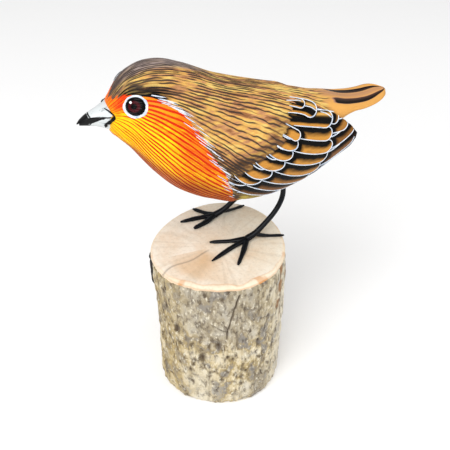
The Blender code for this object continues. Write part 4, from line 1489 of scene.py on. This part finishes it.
@dataclass
class Beak:
    """Upper and lower half of the beak and the dark line round its root.

    Attributes:
        form: the head's shape.
        stations: rows of x, top z, gape z, bottom z, half width.
    """

    form: Form
    stations: Array = field(default_factory=lambda: np.array([(-51.0, 142.3, 142.0, 141.6, 0.45),
        (-50.2, 143.2, 142.6, 141.4, 0.9), (-48.5, 144.4, 143.6, 141.1, 1.7), (-46.0, 145.9, 144.4, 140.6, 2.5),
        (-43.0, 147.3, 144.9, 139.7, 3.5), (-41.0, 148.2, 145.2, 138.9, 4.5), (-39.5, 148.7, 145.6, 138.2, 5.65),
        (-38.0, 148.9, 146.1, 138.0, 6.6), (-37.0, 148.9, 146.4, 138.0, 7.0)]))
    rings: int = 90
    around: int = 48

    def half(self, name: str, sign: int) -> Piece:
        """Make one half: sign is 1 for the upper and -1 for the lower."""
        s = np.linspace(0, 1, self.rings)
        x = self.stations[0, 0] + (self.stations[-1, 0] - self.stations[0, 0]) * s**1.1
        if sign < 0:
            x = x + 0.9 * (1 - s) ** 2
        angle = np.linspace(0, math.pi, self.around)
        xx, aa = np.meshgrid(x, angle, indexing="ij")
        gape, wide = spline(self.stations, 2, xx), spline(self.stations, 4, xx)
        tall = np.abs(spline(self.stations, 1 if sign > 0 else 3, xx) - gape)
        slit = 0.07 + 0.05 * noise(np.stack([xx, aa], -1), 3)
        z = gape + sign * (slit + np.maximum(tall - slit, 0.1) * np.sin(aa) ** 0.92)
        surface = np.stack([xx, self.form.middle - wide * np.cos(aa) * (0.97 if sign < 0 else 1.0), z], -1)
        surface[..., 2] += sign * 0.10 * (noise(surface / 1.2, 6) - 0.5) * np.sin(aa)
        faces = grid_faces(self.rings, self.around, False)
        n = self.around
        for r in range(self.rings - 1):
            faces.append((r * n + n - 1, r * n, (r + 1) * n, (r + 1) * n + n - 1))
        faces.append(tuple(reversed(range(n))))
        faces.append(tuple(range((self.rings - 1) * n, self.rings * n)))
        piece = mesh_object(name, surface.reshape(-1, 3), faces)
        hatch = 0.5 + 0.5 * np.sin((xx + 0.8 * surface[..., 2] * sign) * 5.0)
        dark = ease(-45.0, -47.6, xx + 1.1 * (hatch - 0.5))
        gap = np.abs(z - gape)
        wedge = 0.35 + 1.5 * ease(-39.5, -46.5, xx) if sign < 0 else 0.30 + 0.35 * ease(-40, -46, xx)
        dark = np.maximum(dark, 1 - ease(0.8, 1.25, gap / wedge))
        paint(piece, "dark", dark)
        return piece

    def root_lines(self, surface: BVHTree) -> tuple[list[Array], list[Array]]:
        """Fine line over the beak's root and the heavier line under it.

        Args:
            surface: head and beak together.

        Returns:
            Runs of the fine line and runs of the heavy one.
        """
        over = [(-40.2, 10.6, 147.0), (-39.4, 7.9, 147.4), (-38.6, 5.9, 147.2), (-37.8, 4.5, 146.5)]
        below = [(-37.8, 4.5, 146.5), (-38.5, 4.9, 145.4), (-39.5, 6.4, 143.5), (-40.1, 8.9, 141.2),
            (-39.9, 11.1, 138.7), (-39.8, 11.7, 138.4)]
        out = np.array((-0.27, -0.73, 0.63))
        fine = [self.laid(surface, over, out, side) for side in Side]
        heavy = [self.laid(surface, below, out, side) for side in Side]
        return fine, heavy

    def laid(self, surface: BVHTree, knots: list[tuple[float, ...]], out: Array, side: Side) -> Array:
        """Drop one side's run on to the surface."""
        run = through(knots, 40)
        flip = np.array((1.0, side.value, 1.0))
        run[:, 1] = self.form.middle + side.value * (run[:, 1] - self.form.middle)
        return np.array([lay(surface, p, out * flip, 0.10) for p in run])


# ---------------------------------------------------------------- legs and feet


@dataclass
class Leg:
    """Bent wire with a hammered foot of four toes.

    Attributes:
        side: left or right.
        knots: path of the wire from knuckle to belly.
        toes: tip of each toe on the log and its tip radius.
        wire: radius of the wire.
        root: radius of a front toe where it starts.
        wire_steps: rings along the wire.
        toe_steps: rings along a toe.
        wrist_step: ring of the wire where the back toe starts.
    """

    side: Side
    knots: list[tuple[float, float, float]]
    toes: list[tuple[tuple[float, float], float]]
    wire: float = 1.15
    root: float = 1.4
    wire_steps: int = 90
    toe_steps: int = 40
    wrist_step: int = 12

    def wire_piece(self) -> Piece:
        """The wire, a little uneven under its paint and thicker towards the foot."""
        path = through(self.knots, self.wire_steps)
        height = path[:, 2] - path[0, 2]
        radii = self.wire + 0.42 * np.exp(-height / 2.5) + 0.05 * (noise(path / 2.0, 3) - 0.5)
        return tube(f"leg_wire_{self.side.name.lower()}", path, radii, 24)

    def toe_pieces(self, face: float) -> list[Piece]:
        """The toes, resting on the sawn face."""
        made = []
        root = np.array(self.knots[0])
        for i, (tip, tip_radius) in enumerate(self.toes):
            behind = tip[0] > root[0]
            wrist = through(self.knots, self.wire_steps)[self.wrist_step]
            start = wrist - (1.6, 0.0, 1.2) if behind else root - (0.0, 0.0, 0.1)
            end = np.array((*tip, face + tip_radius * 0.72))
            middle = start * 0.55 + end * 0.45
            middle[2] = face + 0.95
            sway = 0.5 if i % 2 else -0.4
            middle[1] += sway
            path = through([tuple(start), tuple(middle), tuple(end)], self.toe_steps)
            t = np.linspace(0, 1, self.toe_steps)
            thick = self.root * (0.8 if behind else 1.0)
            radii = thick + (tip_radius - thick) * t + 0.09 * np.sin(t * 9 + i * 2)
            radii *= np.minimum(1.0, 0.55 + (1 - t) * 4.0)
            radii += 0.08 * (noise(path / 1.3, 20 + i) - 0.5)
            made.append(tube(f"toe_{self.side.name.lower()}_{i + 1}", path, radii, 20, 0.8))
        return made


# ---------------------------------------------------------------- log


def turned_from(degrees: Array, start: float) -> Array:
    """Signed angle from start, the short way round."""
    return (degrees - start + 180) % 360 - 180


@dataclass
class Log:
    """The sawn log: stripped side, sawn ends and a scrap of dark bark.

    Attributes:
        radius: mean radius of the upper face.
        levels: rows of height share, centre x, centre y, share of the radius.
    """

    radius: float = 29.24
    rim: float = 2.6
    around: int = 520
    steps: int = 150
    levels: Array = field(default_factory=lambda: np.array([(0.0, 1.0, 1.5, 0.968), (14.0, 1.3, 1.7, 0.980),
        (37.0, 1.9, 2.0, 0.995), (60.0, 1.5, 2.3, 1.005), (75.0, 1.0, 2.5, 1.0)]))

    def height(self) -> float:
        """Height of the sawn face, from the frame."""
        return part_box("log")[1][2] / MM

    def outline(self, turn: Array, z: Array, extra: Array | float = 0.0) -> Array:
        """Point on the lopsided outline at a height, pushed out by extra."""
        cx, cy, share = (spline(self.levels, k, z) for k in (1, 2, 3))
        radius = self.radius + 0.23 * np.cos(turn) + 0.59 * np.sin(turn)
        radius += 0.21 * np.cos(2 * turn) + 0.51 * np.sin(2 * turn) - 0.89 * np.cos(3 * turn)
        radius = radius * share + extra
        return np.stack([cx + radius * np.cos(turn), cy + radius * np.sin(turn), z + 0 * turn], -1)

    def pits(self, degrees: Array, z: Array) -> Array:
        """Small oval scars and one forked crack, each 0 to 1."""
        total = np.zeros(degrees.shape)
        scars = ((-128.0, 32.0, 1.6, 3.4), (-113.0, 41.0, 1.5, 3.0), (-104.0, 33.0, 1.1, 1.6),
            (-152.0, 47.0, 1.2, 3.0), (-99.0, 31.0, 0.9, 0.9), (-140.0, 22.0, 1.0, 1.8), (-75.0, 40.0, 0.8, 1.0),
            (-86.0, 22.0, 0.9, 1.3), (20.0, 35.0, 1.6, 3.4), (75.0, 50.0, 1.4, 2.6), (130.0, 28.0, 1.5, 3.0),
            (160.0, 55.0, 1.1, 2.4))
        for turn, height, wide, tall in scars:
            off = turned_from(degrees, turn)
            total += bump(0, 1, np.hypot(off * 0.5 / wide, (z - height) / tall))
        arms = ((-92.0, 72.0, -104.0, 51.0), (-104.0, 51.0, -105.0, 45.0), (-118.0, 54.0, -104.0, 49.0))
        for a0, z0, a1, z1 in arms:
            t = np.clip((z - z0) / (z1 - z0), 0, 1)
            off = (degrees - (a0 + (a1 - a0) * t)) * 0.5
            total += 0.9 * bump(0, 0.42, off) * ease(min(z0, z1) - 1, min(z0, z1) + 1,
                z) * (1 - ease(max(z0, z1) - 1, max(z0, z1) + 1, z))
        return np.clip(total, 0, 1)

    def side_masks(self, degrees: Array, z: Array, rough: Array) -> dict[str, Array]:
        """Weathering of the side: where it is grey, tanned, bleached and rusty."""
        smoky = bump(0, 40, turned_from(degrees, -108)) * ease(30, 58, z - 12 * (rough - 0.5))
        smoky = np.maximum(smoky, 0.8 * bump(0, 40, turned_from(degrees, 60)) * ease(20, 60, z))
        smoky = np.maximum(smoky, 0.7 * bump(0, 12, turned_from(degrees, -70)) * ease(30, 10, z))
        tanned = 0.45 * bump(0, 22, turned_from(degrees, -158)) + 0.4 * bump(0, 22, turned_from(degrees, 120))
        bleached = 0.75 * bump(0, 22, turned_from(degrees, -36)) + 0.4 * bump(0, 30, turned_from(degrees, 20))
        bleached += 0.6 * bump(0, 16, turned_from(degrees, -128)) * ease(36, 16, z)
        seam = turned_from(degrees, -47.0) - 3 * np.sin(z / 9) + 5 * (rough - 0.5)
        rust = bump(0, 5.0, seam) * ease(36, 54, z) * ease(0.35, 0.6, rough)
        flaw = turned_from(degrees, -27) - 2 * np.sin(z / 11)
        rust += 0.8 * bump(0, 1.3, flaw) * ease(34, 42, z) * (1 - ease(62, 68, z)) * ease(0.3, 0.55, rough)
        return {"smoky": np.clip(smoky, 0, 0.6), "tanned": tanned, "bleached": np.clip(bleached, 0, 0.8),
            "rust": np.clip(rust, 0, 0.85)}

    def side(self) -> Piece:
        """Make the stripped side and the lower end."""
        top = self.height()
        turn = np.linspace(-math.pi, math.pi, self.around, endpoint=False)
        z = np.concatenate([[0.0, 0.0], np.linspace(0.5, top - 1.3, self.steps)])
        a, zz = np.meshgrid(turn, z)
        degrees = np.degrees(a)
        base = self.outline(a, zz)
        rough = noise(np.stack([np.cos(a) * 9, np.sin(a) * 9, zz / 4.5], -1) + 40, 14)
        fine = noise(np.stack([np.cos(a) * 24, np.sin(a) * 24, zz / 2.4], -1) + 40, 15)
        grain = noise(np.stack([np.cos(a) * 30, np.sin(a) * 30, zz / 12], -1) + 60, 16)
        split = noise(np.stack([np.cos(a) * 20, np.sin(a) * 20, zz / 15], -1) + 80, 17)
        split = ease(0.64, 0.78, split) * ease(0.3, 0.6, grain)
        pit = np.clip(self.pits(degrees, zz) + 0.3 * split, 0, 1)
        push = 0.9 * (rough - 0.5) + 0.7 * (fine - 0.5) + 0.5 * (grain - 0.5) - 0.85 * pit - 0.15
        push -= 0.9 * (1 - ease(0, 1.6, zz)) + 0.4 * ease(top - 3.0, top - 1.3, zz)
        masks = self.side_masks(degrees, zz, rough)
        push -= 0.5 * masks["rust"]
        surface = self.outline(a, zz, push)
        surface[0] = base[0].mean(axis=0) + (surface[0] - base[0].mean(axis=0)) * 0.9
        centre = [surface[0].mean(axis=0), surface[-1].mean(axis=0)]
        points = np.concatenate([surface.reshape(-1, 3), centre])
        faces = grid_faces(len(z), self.around, True)
        end = len(points) - 2
        last = (len(z) - 1) * self.around
        for k in range(self.around):
            after = (k + 1) % self.around
            faces.append((end, after, k))
            faces.append((end + 1, last + k, last + after))
        piece = mesh_object("log_side", points, faces)
        masks["pit"] = pit
        for name, values in masks.items():
            paint(piece, name, np.concatenate([values.ravel(), [0.0, 0.0]]))
        return piece

    def face(self) -> Piece:
        """Make the sawn face as a thin slab whose worn lip meets the side."""
        top = self.height()
        around, rings = 400, 96
        turn = np.linspace(-math.pi, math.pi, around, endpoint=False)
        share = np.linspace(0.02, 1.0, rings) ** 0.85
        a, s = np.meshgrid(turn, share)
        rim = self.outline(turn, np.full(around, top))
        ragged = noise(np.stack([np.cos(turn) * 14, np.sin(turn) * 14], -1) + 20, 22)
        coarse = noise(np.stack([np.cos(turn) * 4, np.sin(turn) * 4], -1) + 20, 23)
        middle = rim.mean(axis=0)
        front = bump(0, 70, turned_from(np.degrees(turn), -100))
        inward = -0.45 + (0.5 + 0.5 * ragged + 0.6 * coarse) * front
        radius = np.linalg.norm(rim[:, :2] - middle[:2], axis=1) - inward
        flat = np.stack([np.cos(a), np.sin(a)], -1) * (radius[None] * s)[..., None]
        surface = np.concatenate([middle[:2] + flat, np.zeros((*a.shape, 1))], -1)
        from_edge = radius[None] * (1 - s)
        lip = (0.25 + 0.75 * front)[None] * 0.8 * (1 - ease(0, self.rim, from_edge)) ** 1.5
        saw = 0.03 * np.sin(surface[..., 0] * 2.1 + surface[..., 1] * 0.6) + 0.05 * (noise(surface / 6, 25) - 0.5)
        surface[..., 2] = top + 0.02 - lip + saw
        skirt = surface[-1] + np.array([0, 0, -2.4])
        skirt[:, :2] = middle[:2] + (skirt[:, :2] - middle[:2]) * 0.975
        points = np.concatenate([surface.reshape(-1, 3), skirt, [surface[0].mean(axis=0)],
            [middle * (1, 1, 0) + (0, 0, top - 2.4)]])
        faces = grid_faces(rings + 1, around, True)
        hub = len(points) - 2
        for k in range(around):
            after = (k + 1) % around
            faces.append((hub, after, k))
            faces.append((hub + 1, rings * around + k, rings * around + after))
        piece = mesh_object("log_face", points, faces)
        degrees = np.degrees(a)
        r = radius[None] * s
        rays = noise(np.stack([a / (2 * math.pi) * 84, r / 11], -1), 27, 84)
        rays = 0.14 * ease(0.60, 0.85, rays) * ease(7, 15, r)
        blotch = noise(surface / 7, 28) - 0.5
        heart = bump(-150, 40, degrees + 12 * blotch) * ease(4, 9, r) * (1 - ease(20, 26, r)) * (0.7 + 0.6 * blotch)
        crack = bump(0, 0.45, (degrees + 163 + 2.5 * np.sin(r / 3)) * r / 57.3) * ease(4, 8, r) * 0.6
        worn = self.rim * (0.6 + 0.9 * coarse)[None] * (0.12 + 0.88 * front)[None]
        sap = 0.6 * (1 - ease(worn * 0.9, worn * 1.1, from_edge))
        spots = ease(0.55, 0.80, noise(np.stack([a / (2 * math.pi) * 60, r / 4], -1), 29, 60))
        stain = spots * (1 - ease(worn * 0.7, worn * 1.3, from_edge)) * 0.7 * (0.3 + 0.7 * front)[None]
        stain += front[None] * (0.45 * bump(0, 0.35, from_edge - worn) + 0.5 * (1 - ease(0.2, 0.7, from_edge)))
        for name, values in (("rays", rays), ("heart", heart), ("crack", crack), ("sapwood", sap), ("stain", stain)):
            values = np.clip(values, 0, 1)
            paint(piece, name, np.concatenate([values.ravel(), values[-1], [0.0, 0.0]]))
        return piece

    def bark_scrap(self) -> Piece:
        """Make the thin dark remnant of bark at the log's edge, split in two by a nick."""
        drop, reach = 2.6, (158, 168)
        low, high = (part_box("bark_flake")[k][2] / MM - drop for k in (0, 1))
        rows, columns = 70, 26
        high = high + 1.2
        z = np.linspace(low, high, rows)
        turn = np.radians(np.linspace(*reach, columns))
        a, zz = np.meshgrid(turn, z)
        ragged = 2.0 * (noise(np.stack([zz / 2.5, a * 0], -1), 33) - 0.5)
        a = a + np.radians(ragged) * np.abs(np.linspace(-1, 1, columns))[None] ** 2
        nick = 1 - bump(69.6, 0.8, zz)
        ends = ease(0, 1.5, zz - low) * ease(0, 0.8, high - zz)
        side = 1 - np.abs(np.linspace(-1, 1, columns))[None] ** 4
        thick = 1.4 * nick * ends * side
        outer = self.outline(a, zz, thick - 0.05 + 0.15 * (noise(np.stack([zz, a * 30], -1), 34) - 0.5))
        inner = self.outline(a, zz, -0.9 + 0 * a)
        points = np.concatenate([outer.reshape(-1, 3), inner.reshape(-1, 3)])
        faces = grid_faces(rows, columns, False)
        back = rows * columns
        faces += [tuple(back + k for k in reversed(face)) for face in faces]
        n = columns
        for r in range(rows - 1):
            p, q = r * n, r * n + n - 1
            faces.append((p, p + n, back + p + n, back + p))
            faces.append((q, back + q, back + q + n, q + n))
        last = (rows - 1) * n
        for k in range(n - 1):
            faces.append((k, back + k, back + k + 1, k + 1))
            faces.append((last + k, last + k + 1, back + last + k + 1, back + last + k))
        return mesh_object("bark_scrap", points, faces)


# ---------------------------------------------------------------- stage


@dataclass
class Studio:
    """Pale floor, soft light and the camera.

    Attributes:
        azimuth: camera bearing, 0 looking along +Y.
        elevation: camera height angle.
        distance: from the aim point.
        aim: what the camera looks at.
        lens: focal length on a 36 mm sensor.
        sky: strength of the white surround.
    """

    azimuth: float = -20.0
    elevation: float = 39.2
    distance: float = 318.0
    aim: tuple[float, float, float] = (8.34, 15.28, 75.0)
    lens: float = 56.0
    sky: float = 0.56

    def camera(self) -> None:
        """Place the camera."""
        turn, tilt = math.radians(self.azimuth), math.radians(self.elevation)
        back = Vector((math.sin(turn) * math.cos(tilt), -math.cos(turn) * math.cos(tilt), math.sin(tilt)))
        data = bpy.data.cameras.new("camera")
        data.lens = self.lens
        data.sensor_width = 36.0
        data.clip_start, data.clip_end = 0.01, 20.0
        made = bpy.data.objects.new("camera", data)
        made.location = (Vector(self.aim) + back * self.distance) * MM
        made.rotation_mode = "QUATERNION"
        made.rotation_quaternion = (-back).to_track_quat("-Z", "Y")
        bpy.context.scene.collection.objects.link(made)
        bpy.context.scene.camera = made

    def lamp(self, name: str, place: tuple[float, float, float], size: float, power: float) -> None:
        """Hang a square soft light that faces the bird."""
        data = bpy.data.lights.new(name, "AREA")
        data.shape = "SQUARE"
        data.size = size
        data.energy = power
        made = bpy.data.objects.new(name, data)
        made.location = place
        toward = Vector((0.01, 0.0, 0.10)) - Vector(place)
        made.rotation_mode = "QUATERNION"
        made.rotation_quaternion = toward.to_track_quat("-Z", "Y")
        bpy.context.scene.collection.objects.link(made)

    def floor(self) -> None:
        """Lay the pale floor."""
        rim = 3.0
        points = np.array([(-rim, -rim, 0), (rim, -rim, 0), (rim, rim, 0), (-rim, rim, 0)]) / MM
        points[:, 2] = -0.02
        sheet = mesh_object("studio_floor", points, [(0, 1, 2, 3)], smooth=False)
        paper = Finish("matt_white_paper", Varnish(0.9))
        paper.shader.inputs["Base Color"].default_value = linear("#FFFFFF")
        paper.dress(sheet)

    def build(self) -> None:
        """Set up the whole stage."""
        self.camera()
        self.floor()
        self.lamp("key", (-0.55, -0.55, 0.95), 1.0, 12.5)
        self.lamp("fill", (0.60, -0.35, 0.45), 0.7, 1.4)
        world = bpy.data.worlds.new("studio")
        world.use_nodes = True
        sky = world.node_tree.nodes["Background"]
        sky.inputs["Color"].default_value = (1.0, 1.0, 1.0, 1.0)
        sky.inputs["Strength"].default_value = self.sky
        bpy.context.scene.world = world
        bpy.context.scene.view_settings.view_transform = "Standard"


# ---------------------------------------------------------------- assembly


def keep(piece: Piece, finish: Finish | None, slot: str, *nodes: str) -> Piece:
    """Dress a piece, fix it to the body and hide the solids it stands for.

    Args:
        piece: the finished mesh.
        finish: its material, or None where it already has one.
        slot: the record's material slot; it is not used.
        nodes: solids that it replaces.

    Returns:
        The piece.
    """
    if finish is not None:
        finish.dress(piece)
    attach(piece, BODY)
    if nodes:
        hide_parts(*nodes)
    log.info("%s: %d faces", piece.name, len(piece.data.polygons))
    return piece


LEGS = {Side.LEFT: Leg(Side.LEFT, [(13.6, 1.3, 76.6), (18.0, 1.5, 78.9), (24.5, 2.2, 84.7), (27.5, 2.8, 87.9),
    (29.5, 3.4, 90.8), (30.8, 4.0, 93.9), (31.2, 4.5, 97.2), (31.2, 5.0, 101.5), (31.0, 5.3, 107.0)],
    [((-2.3, 5.8), 0.75), ((-5.4, -6.2), 0.80), ((4.2, -12.3), 0.85), ((30.4, -0.9), 0.60)]),
    Side.RIGHT: Leg(Side.RIGHT, [(5.9, 22.0, 76.6), (10.2, 21.6, 79.1), (14.8, 21.4, 83.1), (18.4, 20.8, 86.6),
    (20.9, 20.2, 90.2), (22.1, 19.6, 93.6), (22.5, 19.1, 97.4), (22.5, 18.6, 102.0), (22.4, 18.3, 107.0)],
    [((-1.9, 31.0), 0.75), ((-10.2, 23.6), 0.85), ((-5.8, 16.9), 1.15), ((21.6, 25.5), 0.60)])}


def build_bird(form: Form) -> None:
    """Make every piece of the bird."""
    plumage, white, silver, gloss = PlumagePaint().build(), LinePaint().build(), BeakPaint().build(), EyePaint(
        ).build()
    enamel = PlainPaint("blue_black_enamel_on_wire", "#040609", "#0B111A", Varnish(0.36, 0.14, 0.08), 1.2,
        0.12).build()
    outline = PlainPaint("black_acrylic_outline", "#050506", "#0E0E10", Varnish(0.45, 0.1), 1.0, 0.05).build()
    grain = Grain(form)
    skin = keep(CarvedSkin(form, grain).build(), plumage, "painted_body", "head", "trunk", "tail")
    head = surface_of(skin)
    beak = Beak(form)
    upper = keep(beak.half("beak_top", 1), silver, "painted_beak", "beak_upper")
    lower = keep(beak.half("beak_bottom", -1), silver, "painted_beak", "beak_lower")
    fine, heavy = beak.root_lines(surface_of(skin, upper, lower))
    for name, runs, radius in (("beak_root_fine_line", fine, 0.26), ("beak_root_heavy_line", heavy, 0.62)):
        values = {"Radius": radius * MM, "Material": outline.material}
        keep(run_tree(name, edge_object(name + "_runs", runs), brush_line_tree(), values), None, "painted_beak")
    for side in Side:
        label = side.name.lower()
        shell = WingShell(form, grain, side)
        keep(shell.build(), plumage, "painted_wing", f"wing_{label}")
        runs = edge_object(f"wing_runs_{label}", shell.edge_lines())
        lines = run_tree(f"feather_edges_{label}", runs, brush_line_tree(),
            {"Radius": 0.22 * MM, "Material": white.material})
        keep(lines, None, "painted_wing")
        keep(BreastStrokes(form, grain, side).build(white), None, "painted_body")
        bead, ring = Eye(form, side).build(head)
        keep(bead, gloss, "eye", f"eye_{label}")
        keep(ring, white, "painted_body")
        leg = LEGS[side]
        keep(leg.wire_piece(), enamel, "wire", f"leg_{label}")
        for i, toe in enumerate(leg.toe_pieces(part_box("log")[1][2] / MM)):
            keep(toe, enamel, "wire", *([f"foot_{label}"] if i == 0 else []))


def surface_of(*pieces: Piece) -> BVHTree:
    """One surface to lay things on, made of several pieces that sit at the origin."""
    corners, faces = [], []
    for piece in pieces:
        first = len(corners)
        corners += [v.co for v in piece.data.vertices]
        faces += [tuple(first + k for k in face.vertices) for face in piece.data.polygons]
    return BVHTree.FromPolygons(corners, faces)


def build_log() -> None:
    """Make the log."""
    wood = Log()
    keep(wood.side(), StrippedLog().build(), "log", "log")
    keep(wood.face(), SawnFace().build(), "log")
    bark = PlainPaint("dark_bark_remnant", "#100C0B", "#221A16", Varnish(0.75), 1.0, 0.2).build()
    keep(wood.bark_scrap(), bark, "bark", "bark_flake")


def main() -> None:
    """Build the ornament and its stage."""
    logging.basicConfig(level=logging.INFO, format="%(message)s")
    Studio().build()
    build_log()
    build_bird(Form())


if __name__ == "__main__":
    main()
